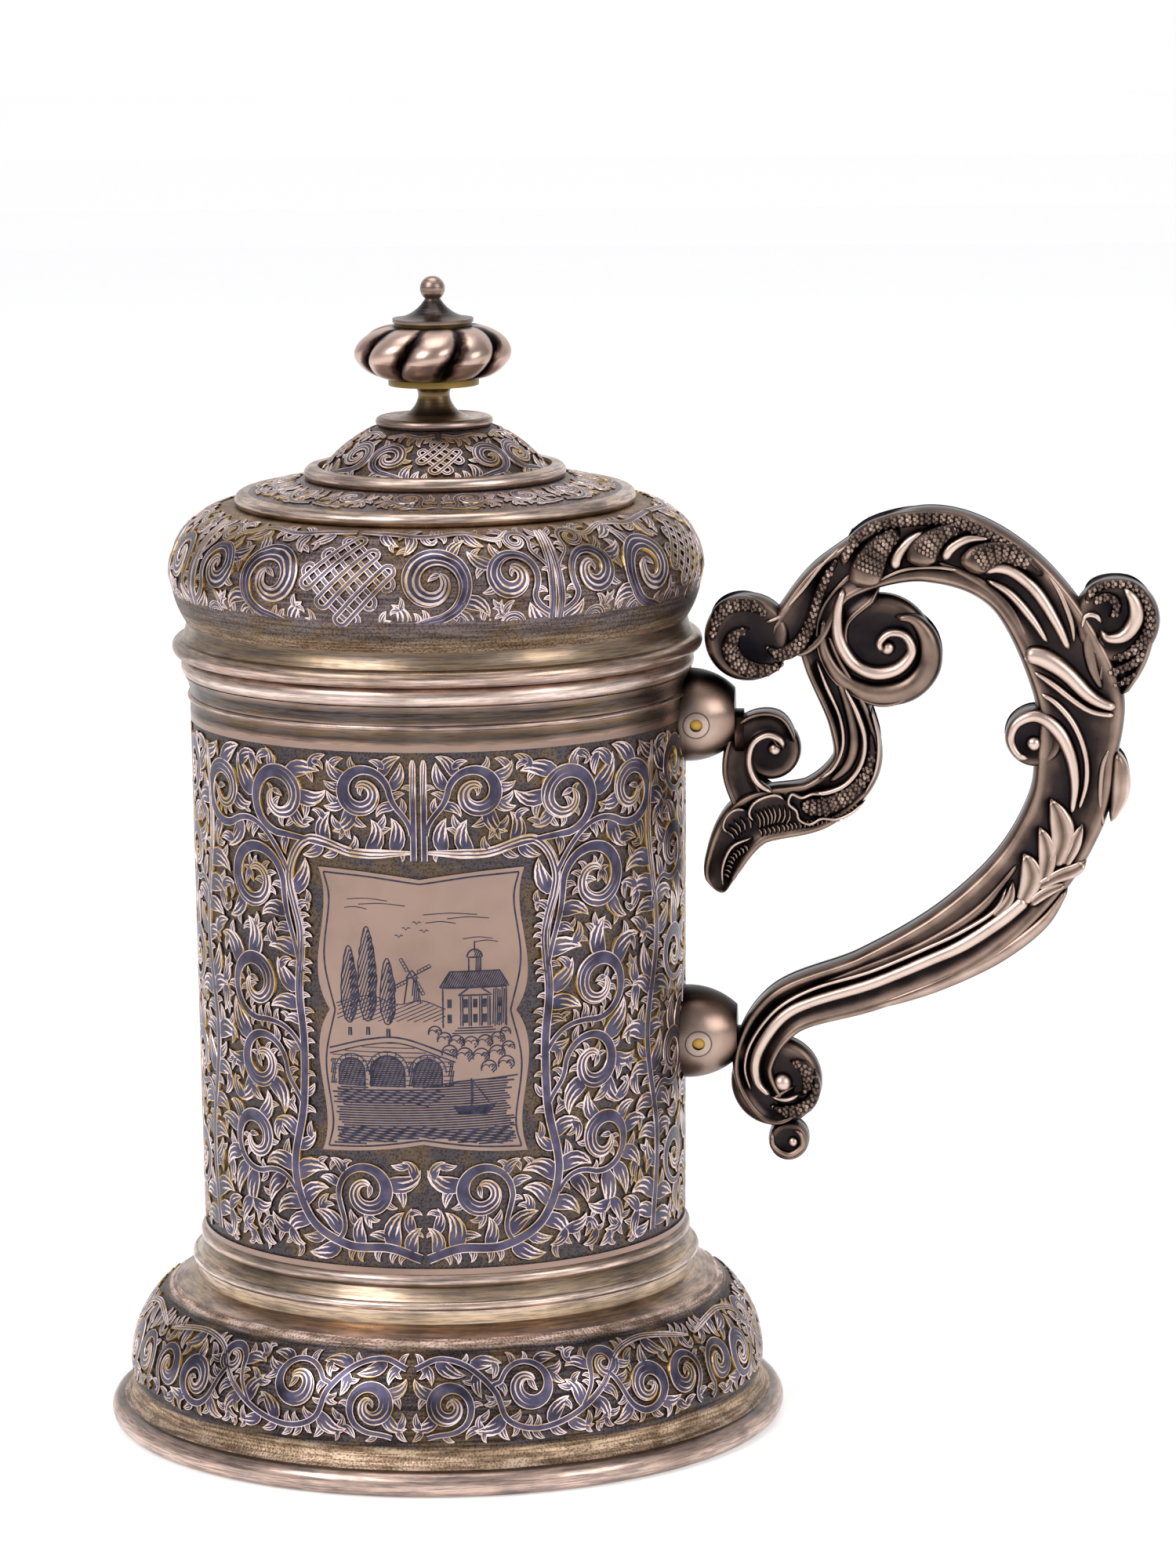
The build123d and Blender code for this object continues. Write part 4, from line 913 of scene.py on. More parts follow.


# each section's third list is how bright a place is: rubbing on what stands proud, painted
# highlights on crests and painted shade in hollows
RIDGE = both_ways([0, 0.75, 1.15, 1.3], [1, 0.88, 0.5, 0], [1, 0.9, 0.45, 0.1])
LOBE = both_ways([0, 0.5, 0.82, 0.96, 1], [1, 0.93, 0.74, 0.5, 0], [0.22, 0.25, 0.35, 0.4, 0.05])
LEAF = both_ways([0, 0.4, 0.8, 0.96, 1], [0.78, 0.9, 0.85, 0.5, 0], [0.5, 0.85, 0.95, 0.5, 0.05])
DISH = both_ways(
    [0, 0.2, 0.45, 0.66, 0.78, 0.87, 0.95, 0.99, 1],
    [0.66, 0.67, 0.72, 0.84, 0.95, 0.92, 0.72, 0.42, 0],
    [0.18, 0.2, 0.26, 0.4, 0.62, 0.68, 0.45, 0.3, 0.2],
)
# a button and a ball are turned, so theirs run only from the middle out
BUTTON = (
    [0, 0.3, 0.6, 0.8, 0.92, 0.98, 1],
    [0.8, 0.82, 0.88, 0.98, 0.85, 0.5, 0],
    [0.1, 0.1, 0.15, 0.5, 0.5, 0.3, 0.2],
)
BALL = ([0, 0.3, 0.55, 0.75, 0.9, 1], [1, 0.95, 0.83, 0.66, 0.43, 0], [1, 1, 0.95, 0.8, 0.4, 0.1])

carved = {"points": [], "faces": [], "worn": [], "beads": []}


def sweep(stations, section, foot, rise, step=0.5, soft=1.2, worn=1.0):
    """One carved member through stations (x, z, half-width), from foot up to rise above it, in mm.

    section gives places across, their heights and how bright they are, as wear and as painted
    highlight and shade. The ends run down over the length soft.
    """
    run = run_through(stations, step)
    line, half = run[:, :2], np.maximum(run[:, 2], 0.05)
    far = np.concatenate([[0], np.cumsum(np.linalg.norm(np.diff(line, axis=0), axis=1))])
    end = np.minimum(far, far[-1] - far)
    taper = np.sqrt(np.clip((end + 0.03) / soft, 0, 1)) if soft else 1 + 0 * far
    across, level, bright = (np.array(v, float) for v in section)
    spread = sides(line)[:, None, :] * (half * taper)[:, None, None] * across[None, :, None]
    flat = line[:, None, :] + spread
    high = foot + rise * level[None, :] * taper[:, None]
    wide = len(across)
    count = sum(len(p) for p in carved["points"])
    carved["points"].append(np.dstack([flat[:, :, 0], -high, flat[:, :, 1]]).reshape(-1, 3))
    carved["worn"].append(np.tile(bright * worn, len(line)))
    i, j = np.meshgrid(np.arange(len(line) - 1), np.arange(wide - 1), indexing="ij")
    a = (count + i * wide + j).ravel()
    carved["faces"] += np.stack([a, a + wide, a + wide + 1, a + 1], 1).tolist()
    b = count + np.arange(len(line) - 1) * wide
    carved["faces"] += np.stack([b + wide - 1, b + 2 * wide - 1, b + wide, b], 1).tolist()
    carved["faces"].append(list(range(count, count + wide)))
    carved["faces"].append([count + len(line) * wide - 1 - k for k in range(wide)])
    return line, half * taper, far


def disc(x, z, radius, section, foot, rise, round_steps):
    """A turned button or ball at x, z; section gives radii, heights and brightness as shares, both
    wear and painted highlight and shade.
    """
    reach, level, bright = section
    count = sum(len(p) for p in carved["points"])
    turns = np.linspace(0, 2 * math.pi, round_steps, endpoint=False)
    points, shade = [[x, -(foot + rise * level[0]), z]], [bright[0]]
    for r, h, w in zip(reach[1:], level[1:], bright[1:]):
        out, high = radius * r, foot + rise * h
        points += [[x + out * math.cos(a), -high, z + out * math.sin(a)] for a in turns]
        shade += [w] * round_steps
    carved["points"].append(np.array(points))
    carved["worn"].append(np.array(shade))
    for k in range(round_steps):
        n = (k + 1) % round_steps
        carved["faces"].append([count, count + 1 + k, count + 1 + n])
        for ring in range(len(reach) - 2):
            a = count + 1 + ring * round_steps
            carved["faces"].append([a + k, a + round_steps + k, a + round_steps + n, a + n])
    last = count + 1 + (len(reach) - 2) * round_steps
    carved["faces"].append([last + k for k in range(round_steps)][::-1])


def punched(stations, foot, rise, head=0.0, pitch=0.74, soft=1.2):
    """A lobe matted with a ring punch in rows; its head is left smooth and rubs bright."""
    start = len(carved["worn"])
    line, half, far = sweep(stations, LOBE, foot, rise, 0.4, soft)
    if head:
        rubbed = 0.5 * np.exp(-((far / head) ** 2))
        carved["worn"][start] += np.repeat(rubbed, len(LOBE[0]))
    out = sides(line)
    for row, at in enumerate(np.arange(max(head * 1.1, 0.5), far[-1] - 0.3, pitch * 0.87)):
        i = int(np.searchsorted(far, at))
        room = half[i] * 0.86 - 0.28
        if room < 0:
            continue
        # every other row is set between the beads of the one before
        if row % 2 == 0:
            fit = int(room / pitch + 0.5)
            spots = [k * pitch for k in range(-fit, fit + 1)]
        else:
            fit = int(room / pitch)
            spots = [(k + 0.5) * pitch for k in range(-fit - 1, fit + 1)]
        for spot in spots:
            if abs(spot) <= room + 0.05:
                t = abs(spot) / half[i]
                crown = np.interp(t, LOBE[0][4:], LOBE[1][4:])
                high = foot + rise * min(1, half[i] / (half.max() * 0.5)) * crown
                x, z = line[i] + out[i] * spot
                # the beads are painted brighter towards the lobe's middle, a painted highlight on
                # its crest, and lighter or darker in patches
                patchy = 0.6 + 0.4 * math.sin(0.9 * x + 0.7 * z)
                carved["beads"].append((x, -high, z, 0.42 + 0.4 * (1 - t) * patchy))


# the straps, from the thumb scroll round the arch to the foot curl, with half-widths in mm
spine = [
    (57.6, 135.6, 1.2), (60.2, 137.4, 3.6), (62.9, 139.6, 5), (69.6, 148.2, 4.5), (85, 153.6, 6.6),
    (99.9, 147, 6.2), (110.1, 129.8, 7.7), (110.2, 117, 7.2), (108.4, 107, 7), (101.7, 95.6, 6.8),
    (90.2, 85.1, 6.6), (75, 77.5, 5.4), (60, 72.1, 4.6), (54.3, 62.5, 3.7), (58, 54.9, 3.1),
    (63.3, 58.5, 2.3),
]
sweep(spine, DISH, 0, 4.6, soft=3)
sweep([(115.5, 127, 2.5), (118.1, 134, 4.3), (118.3, 140, 6)], DISH, 0, 4.2, soft=2.5)
great_band = [
    (76, 148.8, 4), (68.6, 141, 3.2), (69.8, 132.6, 3), (77.5, 128.4, 3), (83.9, 133.6, 2.8),
    (80.6, 140.4, 1.8),
]
sweep(great_band, DISH, 0, 4.0, soft=4)
inner_arm = [
    (64.8, 139.5, 3), (66.9, 133, 3.5), (71.5, 123, 4), (72.2, 115, 4.4), (65.6, 108.5, 4.6),
    (54.5, 105.7, 4.8), (49.3, 98, 3.4), (48.9, 92.5, 2),
]
sweep(inner_arm, DISH, 0, 4.1, soft=3)
sweep([
    (54.5, 107.5, 3.2), (51.9, 114.5, 2.8), (53.6, 121, 2.6), (58.2, 122.3, 2.3), (61, 118.2, 1.8),
], DISH, 0, 3.7, soft=1.5)
for x, z, radius, rise in (
    (53.8, 137.5, 7.6, 4.2), (117, 140.3, 7.55, 4.2), (103.2, 120.2, 5.2, 4.2),
    (60.4, 49, 3.6, 3.8), (76.4, 135.8, 9.4, 2.5), (57.5, 118, 5.4, 2.5), (58.3, 59.3, 8, 3.0),
):
    disc(x, z, radius, BUTTON, 0, rise, 64)

# thumb scroll: punched crescents that swirl, with black hollows between them
punched([
    (54.3, 139.4, 0.3), (51.6, 138.2, 1.2), (50.9, 135.6, 1.7), (52.6, 133.1, 1.7),
    (56, 132.1, 1.4), (60, 133.2, 0.5),
], 3.0, 1.8)
punched([
    (56.6, 136.4, 0.3), (59.4, 135, 1.2), (62.3, 136.4, 1.4), (64.4, 139.8, 1.15),
    (65.7, 144, 0.95), (67.3, 148, 0.85), (69.4, 151.8, 0.5),
], 3.0, 2.1)
punched([
    (57.2, 141.2, 0.3), (55.6, 143, 1.2), (52.6, 143.6, 1.45), (49.7, 142.6, 1.4),
    (48.2, 140.2, 1.1), (47.6, 136.6, 0.4),
], 2.6, 1.9)

# arch: drop-shaped lobes and slim smooth crescents along a punched outer band
punched([
    (71, 154.3, 0.6), (75, 156.6, 1.2), (80, 158, 1.4), (85, 158.4, 1.4), (90, 157.7, 1.4),
    (95, 155.7, 1.2), (100, 153, 0.9), (103, 151, 0.4),
], 2.6, 2.0)
punched([(70.2, 150.2, 0.8), (71, 152.6, 1), (73.3, 155.2, 0.5)], 3.2, 1.8, 1.2)
punched([
    (73.8, 146.3, 2.3), (74.4, 149.6, 3.0), (76.4, 153.3, 2.3), (80, 156.6, 1.0),
], 3.2, 2.4, 3.0)
punched([
    (83.5, 149.9, 2.4), (84, 152.7, 2.8), (86.6, 155.4, 1.9), (90.4, 157.1, 0.9),
], 3.2, 2.4, 2.6)
punched([
    (91.9, 149, 2.3), (93.4, 151.3, 2.8), (97.4, 152.6, 2.0), (101.4, 151, 1.4),
    (104.6, 148.4, 0.6),
], 3.2, 2.4, 2.4)
for ridge in (
    [(79.2, 149.2, 0.9), (79.4, 151.7, 1.0), (81.4, 154.3, 0.85), (84.2, 156.4, 0.3)],
    [(87.4, 150.8, 0.7), (88.6, 153.2, 0.95), (91.6, 154.8, 0.8), (95.8, 154.9, 0.25)],
    [
        (94.2, 148.7, 0.4), (96.5, 149.9, 1.0), (99.5, 149.1, 1.05), (103.4, 145.6, 1.0),
        (106.8, 140.2, 0.85), (109, 135.4, 0.5),
    ],
    [(94.6, 148, 0.3), (98.8, 145.4, 0.7), (102.6, 141, 0.7), (105.4, 136.6, 0.35)],
):
    sweep(ridge, RIDGE, 2.8, 2.1)
for ridge in (
    [(75.6, 147.4, 0.3), (80.5, 149.5, 0.36), (85.5, 150, 0.36), (90.4, 149.4, 0.3)],
    [(60.2, 142.6, 0.25), (63.4, 146.3, 0.4), (66.6, 150.3, 0.4), (69.8, 153.4, 0.25)],
    [(60.4, 142, 0.25), (58.4, 141, 0.35), (56.4, 140.4, 0.25)],
    [(104.8, 149.4, 0.2), (107.4, 145.4, 0.5), (109.3, 140.4, 0.5), (109.8, 136.6, 0.2)],
):
    sweep(ridge, RIDGE, 3.0, 1.5, worn=0.85)

for band in (
    [(86, 151, 0.3), (93, 147.6, 0.9), (98, 143, 1.2), (100.9, 138, 0.9), (101.4, 136.6, 0.3)],
    [
        (67.9, 134.4, 0.3), (70.9, 126.4, 0.8), (72.1, 120, 0.9), (70.9, 115.4, 0.8),
        (67.6, 112.4, 0.4),
    ],
    [(100.4, 98.4, 0.3), (93.5, 90, 0.9), (84, 83.8, 0.9), (72, 79, 0.7), (62, 75.2, 0.4)],
):
    sweep(band, RIDGE, 2.6, 1.3, worn=0.6)

# back scroll: its crescents swirl out of a smooth stem
sweep([
    (114.2, 139.3, 0.3), (115.6, 137.7, 0.7), (118.4, 138.2, 1.1), (120.3, 141, 1.25),
    (119.9, 144.2, 1.0), (118, 146.6, 0.3),
], RIDGE, 3.4, 2.1)
punched([
    (111.7, 143.2, 0.4), (113, 145.8, 1), (116, 147, 0.9), (119.7, 146.5, 0.9), (122.2, 143.6, 1.1),
    (122.7, 140, 1.3), (121.2, 136.6, 1.3), (118.4, 134.6, 0.9), (115.6, 134.2, 0.3),
], 2.6, 1.9)
punched([
    (112.9, 143.4, 0.4), (114.6, 144.8, 0.9), (116.6, 144.2, 1.0), (117, 142.4, 0.8),
    (115.6, 141.3, 0.4),
], 3.2, 1.9)
punched([
    (122.5, 136.6, 0.3), (120.4, 133.7, 0.9), (117.2, 132, 1.0), (114.9, 131.6, 0.4),
], 2.6, 1.9)
punched([(120.6, 131.9, 0.3), (118.4, 130.1, 0.8), (116, 129.3, 0.4)], 2.6, 1.7)
sweep([
    (111, 139, 0.25), (111.7, 141.5, 0.4), (113.6, 141.5, 0.5), (114.6, 139.9, 0.25),
], RIDGE, 3.2, 1.6)
sweep([
    (114.6, 128.4, 0.4), (113, 132.5, 0.9), (112.2, 137, 0.9), (112.8, 140, 0.5),
], RIDGE, 2.9, 1.3, worn=0.6)

# collar: two slanting bands where the arch meets the back
sweep([
    (100.9, 134.9, 1.3), (104.5, 134.2, 1.6), (108.3, 131.7, 1.4), (112, 128, 1.2),
    (115, 126.2, 0.9), (117.4, 125.7, 0.7),
], RIDGE, 2.6, 2.7)
sweep([
    (102.4, 132.2, 0.3), (106, 129.8, 0.6), (109.8, 126.8, 0.6), (113, 124.9, 0.55),
    (117.2, 124.2, 0.5),
], RIDGE, 2.8, 2.1)
sweep([
    (103.6, 128.4, 0.3), (106.8, 126.3, 0.55), (109.8, 122.6, 0.55), (111.7, 117.6, 0.5),
    (111.9, 112.6, 0.5), (110.6, 107.6, 0.3),
], RIDGE, 3.0, 1.9)

# neck curl of the back, its ball, and the cabochon
sweep([
    (109.4, 106.8, 0.4), (110, 112, 0.8), (109.3, 117, 1.0), (107.1, 121.5, 1.15),
    (103.5, 124.1, 1.05), (100.1, 123, 0.85), (98.9, 120.2, 0.75), (100.1, 117.5, 0.65),
    (102.4, 116.6, 0.4),
], RIDGE, 2.9, 2.1)
sweep([
    (117, 118.2, 0.4), (117.7, 115, 1.5), (117.7, 110.5, 1.7), (116.2, 105.4, 0.4),
], LOBE, 2.0, 2.6, worn=3.0)
sweep([
    (116.4, 119.2, 0.3), (114.8, 115.5, 0.5), (114.4, 110, 0.5), (114.9, 104.8, 0.3),
], RIDGE, 3.0, 1.3, worn=0.8)

# leaves that lap up the arm under the curl
for leaf in (
    [(106.2, 97.5, 0.9), (107.9, 102.6, 1.8), (107.3, 106.6, 1.5), (105.7, 110, 0.15)],
    [(104.4, 94.5, 0.8), (105.3, 99.2, 1.4), (104.9, 102.4, 1.1), (103.8, 105, 0.15)],
    [(100.6, 91, 0.9), (102.5, 95.4, 1.7), (102.2, 98.2, 1.3), (101, 100.4, 0.15)],
    [(108, 97.5, 0.6), (109.8, 101.8, 1.1), (111.4, 105.6, 0.15)],
    [(103, 94, 0.6), (107, 96.2, 1.0), (110, 97.4, 1.0), (112, 98.9, 0.5)],
    [(101.8, 91, 0.6), (105, 93.4, 0.8), (108.8, 95, 0.3)],
    [(95.6, 88.6, 0.5), (98.6, 92, 0.8), (99.4, 95.4, 0.15)],
):
    sweep([(x, z, half * 1.3) for x, z, half in leaf], LEAF, 3.0, 2.1, 0.4)

# arm: a bright middle ridge between black grooves, a thin upper ridge and an outer band
sweep([
    (102, 92.5, 1.2), (97.4, 88.6, 1.25), (91, 84.3, 1.2), (85, 81.5, 1.1), (75, 77.3, 1.05),
    (65, 74.2, 1), (60, 71.8, 1), (56.7, 68, 1), (54.7, 63.6, 0.95), (55.1, 59.6, 0.75),
    (57.5, 57.1, 0.4),
], RIDGE, 2.6, 2.6)
sweep([
    (98.4, 94.4, 0.2), (96.2, 90.2, 0.4), (90.8, 86.6, 0.4), (85, 83.8, 0.4), (75, 79.5, 0.38),
    (65, 76.4, 0.36), (58.6, 72.8, 0.36), (54.3, 67.4, 0.36), (52.9, 62.5, 0.3), (54, 58, 0.2),
], RIDGE, 3.0, 1.9)
sweep([
    (108.8, 94, 0.4), (104.4, 87.9, 1.0), (97, 82.2, 1.15), (88, 77.6, 1.05), (80, 74.6, 0.85),
    (74.8, 72.9, 0.3),
], RIDGE, 2.4, 2.0, worn=0.8)

# foot curl: a ball in a ring of punched crescents, and the small end curl
punched([(60.6, 63.3, 0.3), (63, 62.3, 1.15), (64, 59.6, 1.25), (62.6, 57, 0.4)], 2.4, 2.0)
punched([
    (57, 55.4, 0.3), (60.4, 54.5, 1.2), (63.6, 55.5, 1.25), (65.2, 58.4, 0.9), (65, 61.8, 0.3),
], 2.4, 2.2)
sweep([(57, 57.2, 0.2), (60, 56.5, 0.4), (62.6, 57.6, 0.2)], RIDGE, 2.8, 1.7)
sweep([
    (57.6, 51, 0.3), (57.8, 48.2, 0.5), (60.3, 46.7, 0.5), (62.7, 48.2, 0.5), (62.5, 50.4, 0.4),
    (61, 51.1, 0.2),
], RIDGE, 2.8, 1.5, 0.3, worn=0.7)

# great scroll: a broad bright ridge that winds in to its ball, inside a brown outer band
sweep([
    (70.4, 146.6, 0.5), (69.2, 142, 0.95), (69.5, 137.4, 1.05), (71.9, 133.3, 1.05),
    (75.6, 131.5, 1.05), (79.6, 132.3, 1), (82, 135.2, 0.85), (80.9, 138, 0.7), (78.2, 138.5, 0.65),
    (76.4, 136.8, 0.6), (77.1, 135, 0.5),
], RIDGE, 2.2, 2.5, 0.4)
sweep([
    (66.9, 141.5, 0.5), (66.8, 136, 0.9), (69.6, 130.9, 1.2), (75, 127.9, 1.6), (81, 128.6, 1.8),
    (84.6, 132.3, 1.8), (84.8, 137, 1.5), (82.5, 140.6, 0.9), (79, 141.2, 0.4),
], RIDGE, 2.0, 2.2, 0.4, worn=0.6)

# inner arm: thin ridges, a punched strip that opens to a leaf, and the ribbed tail
punched([
    (74.9, 121.6, 0.3), (75.1, 117, 0.9), (73.4, 112.8, 1.3), (70, 109.8, 1.7), (66.4, 108.3, 2.0),
    (62.6, 108.6, 1.6),
], 2.6, 2.1)
for ridge, half in (
    ([
        (70.3, 129.4), (72.6, 124.6), (73.9, 120), (73.2, 115.6), (70.6, 112.2), (67, 110.7),
        (64.8, 110.9),
    ], 0.5),
    ([(65.6, 134), (67.2, 129.6), (69.6, 124), (70.1, 119), (68.4, 115), (65.6, 112.9)], 0.34),
    ([(75, 125.4), (76.2, 120), (75.7, 114.6), (73.6, 110.2)], 0.3),
    ([
        (67.2, 110.3), (65, 110.6), (63, 109.9), (61.3, 110.5), (60.7, 108.9), (62.1, 107.6),
        (62.5, 106.1), (64.4, 105.3), (66.4, 106.3), (69, 106.2), (71.6, 107.3), (74, 109.4),
    ], 0.3),
    ([(60.4, 109.2), (58.8, 110.3), (56.6, 110), (54.6, 108.8), (53.9, 107), (55, 105.5)], 0.3),
    ([(53.8, 107.5), (51.9, 107.9), (50.1, 106.8), (49.4, 104.8), (50.6, 103.4)], 0.28),
    ([(54.6, 103), (51, 101.4), (49.3, 98), (49.2, 94.4)], 0.3),
    ([
        (58.4, 110.5), (55.2, 112.6), (53.9, 116), (54.6, 119.3), (57, 120.8), (59.4, 119.9),
        (59.9, 118.2),
    ], 0.55),
):
    halves = [half / 2] + [half] * (len(ridge) - 2) + [half / 2]
    sweep([(x, z, w) for (x, z), w in zip(ridge, halves)], RIDGE, 2.6, 2.1, 0.4)


def ribs(line, reach, lean, pitch=0.72):
    """Fine ribs across a line, as on the back of a leaf; reach is how far they run each way."""
    run = run_through(line, pitch)
    out = sides(run)
    for spot, away, along in zip(run, out, np.gradient(run, axis=0)):
        along = along / np.linalg.norm(along)
        ends = [spot + away * side + along * lean * abs(side) for side in reach]
        middle = spot + away * sum(reach) / 2
        rib = [(*ends[0], 0.14), (*middle, 0.24), (*ends[1], 0.14)]
        sweep(rib, RIDGE, 2.6, 1.45, 0.6, 0.6, 0.75)


ribs([(72.6, 108.2), (69.4, 106.2), (65, 105.2), (60, 104.4), (56, 103.6)], (-1.1, 0.7), 0.5)
ribs([(61, 107), (58.4, 107.2), (55.6, 106.4)], (-1.3, 2.2), 0.3)
ribs([(54, 105.8), (52, 105), (50.6, 103.6)], (-1.2, 1.8), 0.3)
ribs([(53.4, 101.2), (51, 99.4), (49.8, 96.4)], (-0.9, 1.0), 0.5)

for x, z, radius, foot in (
    (77.8, 135.8, 1.4, 2.2), (58.3, 118.2, 1.3, 2.2), (102.9, 119.3, 1.45, 3.2),
    (59.3, 59.3, 1.9, 2.4), (61.2, 48.9, 1.05, 3.0),
):
    disc(x, z, radius, BALL, foot, radius * 1.05, 20)


def handle_finish():
    """Oxidised chased silver: near-black in the hollows, brown on the slopes, pink where rubbed; it
    holds painted shade in the hollows and painted highlights on the crests.
    """
    made, tree, shader, place = new_metal("oxidised_silver_handle")
    worn = add(tree, "Attribute", attribute_name="worn").outputs["Fac"]
    # oxide and wear lie in patches about 5 mm across
    cloud = add(tree, "TexNoise", {"Vector": place, "Scale": 190.0, "Detail": 6.0})
    # painted shade: ambient occlusion within 1.6 mm darkens the colour in the hollows
    occlusion_shade = add(tree, "AmbientOcclusion", {"Distance": 1.6 * MM}, samples=8).outputs["AO"]
    lit = add(tree, "Math", {0: worn, 1: occlusion_shade}, operation="MULTIPLY")
    shift = add(tree, "Math", {0: cloud, 1: 0.5, 2: -0.25}, operation="MULTIPLY_ADD")
    lit = add(tree, "Math", {0: lit, 1: shift}, operation="ADD", use_clamp=True)
    tones = [(0.0, "#17151a"), (0.22, "#332b2a"), (0.44, "#5f4f47"), (0.7, "#9c8577")]
    colour = add(tree, "ValToRGB", {"Fac": lit}, tones + [(0.95, "#d8c1b5")])
    dulled = {"Value": cloud, "From Min": 0.3, "From Max": 0.7, "To Min": 0.26, "To Max": 0.4}
    dull = add(tree, "MapRange", dulled)
    # the grain of the stamping, 0.7 mm apart, is coarser than real so that it shows
    fine = add(tree, "TexNoise", {"Vector": place, "Scale": 1400.0, "Detail": 3.0})
    bump = add(tree, "Bump", {"Height": fine, "Strength": 0.25, "Distance": 0.05 * MM})
    fill(shader, {"Base Color": colour, "Roughness": dull, "Normal": bump})
    return made


handle_silver = handle_finish()
near = np.vstack(carved["points"])
worn_bright = np.clip(np.concatenate(carved["worn"]), 0, 1)
for name, side in (("near", 1), ("far", -1)):
    mesh = bpy.data.meshes.new("handle_carving_" + name)
    faces = carved["faces"] if side == 1 else [f[::-1] for f in carved["faces"]]
    mesh.from_pydata((near * [1, side, 1] * MM).tolist(), [], faces)
    mesh.attributes.new("worn", "FLOAT", "POINT").data.foreach_set("value", worn_bright)
    mesh.polygons.foreach_set("use_smooth", [True] * len(mesh.polygons))
    mesh.materials.append(handle_silver)
    carving = put("handle_carving_" + name, mesh)
    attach(carving, "tankard")
    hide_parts("handle_half_" + name)


def bead_tree():
    """Geometry nodes that set a flat bead on every point: the bumps that a ring punch leaves."""
    inputs = {"Spots": "Geometry", "Bead Radius": "Float", "Bead Height": "Float"}
    tree, given = new_group("punched_beads", inputs | {"Finish": "Material"}, "Beads")
    ball = {"Segments": 7, "Rings": 4, "Radius": 1.0}
    ball = add(tree, "GeometryNodeMeshUVSphere", ball)
    across, high = given["Bead Radius"], given["Bead Height"]
    size = add(tree, "CombineXYZ", {0: across, 1: high, 2: across})
    laid = {"Points": given["Spots"], "Instance": ball, "Scale": size}
    laid = add(tree, "GeometryNodeInstanceOnPoints", laid)
    real = add(tree, "GeometryNodeRealizeInstances", {0: laid})
    smooth = add(tree, "GeometryNodeSetShadeSmooth", {0: real})
    done = {"Geometry": smooth, "Material": given["Finish"]}
    done = add(tree, "GeometryNodeSetMaterial", done)
    add(tree, "NodeGroupOutput", {"Beads": done})
    return tree


spots = bpy.data.meshes.new("punch_spots")
beads = np.array(carved["beads"])
both_faces = np.vstack([beads[:, :3], beads[:, :3] * [1, -1, 1]])
spots.from_pydata((both_faces * MM).tolist(), [], [])
spots.attributes.new("worn", "FLOAT", "POINT").data.foreach_set("value", np.tile(beads[:, 3], 2))
values = {"Bead Radius": 0.42 * MM, "Bead Height": 0.26 * MM, "Finish": handle_silver}
punching = put("handle_punching", grown_mesh("handle_punching", spots, bead_tree(), values))
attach(punching, "tankard")

# ---------------------------------------------------------------------------------------------
# Lid: a turned rim with its bezel inside the mouth, a bulged bowl, a terrace and a dome between
# plain wires, raised separately and soldered.

dress("lid_bezel", inside)
rim_colours = [(135.4, "#c3a698"), (136.9, "#dcc0b3"), (138.2, "#bba189"), (139.3, "#a9947f")]
rim_colours += [(141.25, "#9a8675")]
dress("lid_rim", turned_silver("turned_silver_lid_rim", 135.4, 141.25, rim_colours, gilt=0.35))
bowl_colours = [(141.3, "#b39b86"), (142.9, "#98846f"), (143.6, "#6f635c"), (146.0, "#766a6b")]
bowl_colours += [(160.0, "#766a6b"), (160.8, "#a58a70")]
dress("lid_bowl", punched_ground("punched_ground_lid_bowl", 141.25, 161, bowl_colours, wheel=0.6))
for name, low in (("crown_wire", 160.85), ("dome_wire", 165.25)):
    wire_colours = [(0, "#7d6756"), (1.0, "#d6bba8"), (1.8, "#eed6ca"), (2.4, "#cdb19c")]
    wire_colours = [(low + z, code) for z, code in wire_colours]
    dress(name, turned_silver("rubbed_silver_" + name, low, low + 2.4, wire_colours, gilt=0.25))
terrace_colours = [(160, "#8f8284"), (166, "#8f8284")]
dress("lid_terrace", punched_ground("punched_ground_terrace", 160, 166, terrace_colours))
dome_colours = [(165, GROUND), (174, GROUND)]
dress("lid_dome", punched_ground("punched_ground_dome", 165, 175, dome_colours))


def knot(x, y, loops, pitch, long, half):
    """Strapwork: long loops that cross at right angles, set on the diagonal."""
    strips = []
    for number in range(loops):
        for turned, lift in ((45, 1.12), (-45, 1.0)):
            shift = (number - (loops - 1) / 2) * pitch * 2
            waves = [(math.cos(a), math.sin(a)) for a in np.linspace(0, 2 * math.pi, 13)]
            ends = [(math.copysign(long, c) + pitch / 2 * c, pitch / 2 * s) for c, s in waves]
            c, s = math.cos(math.radians(turned)), math.sin(math.radians(turned))
            path = (np.array(ends) + [0, shift]) @ np.array([[c, s], [-s, c]]) + [x, y]
            runs = [np.linspace(a, b, 6, endpoint=False) for a, b in zip(path, path[1:])]
            line = np.vstack(runs + [path[-1:]])
            strips.append((line, half + 0 * line[:, 0], lift))
    return strips


def keep_clear(x, y, reach):
    """Ground of a knot, as a test on x and y."""
    return lambda columns, rows: np.abs(columns - x) + np.abs(rows - y) < reach


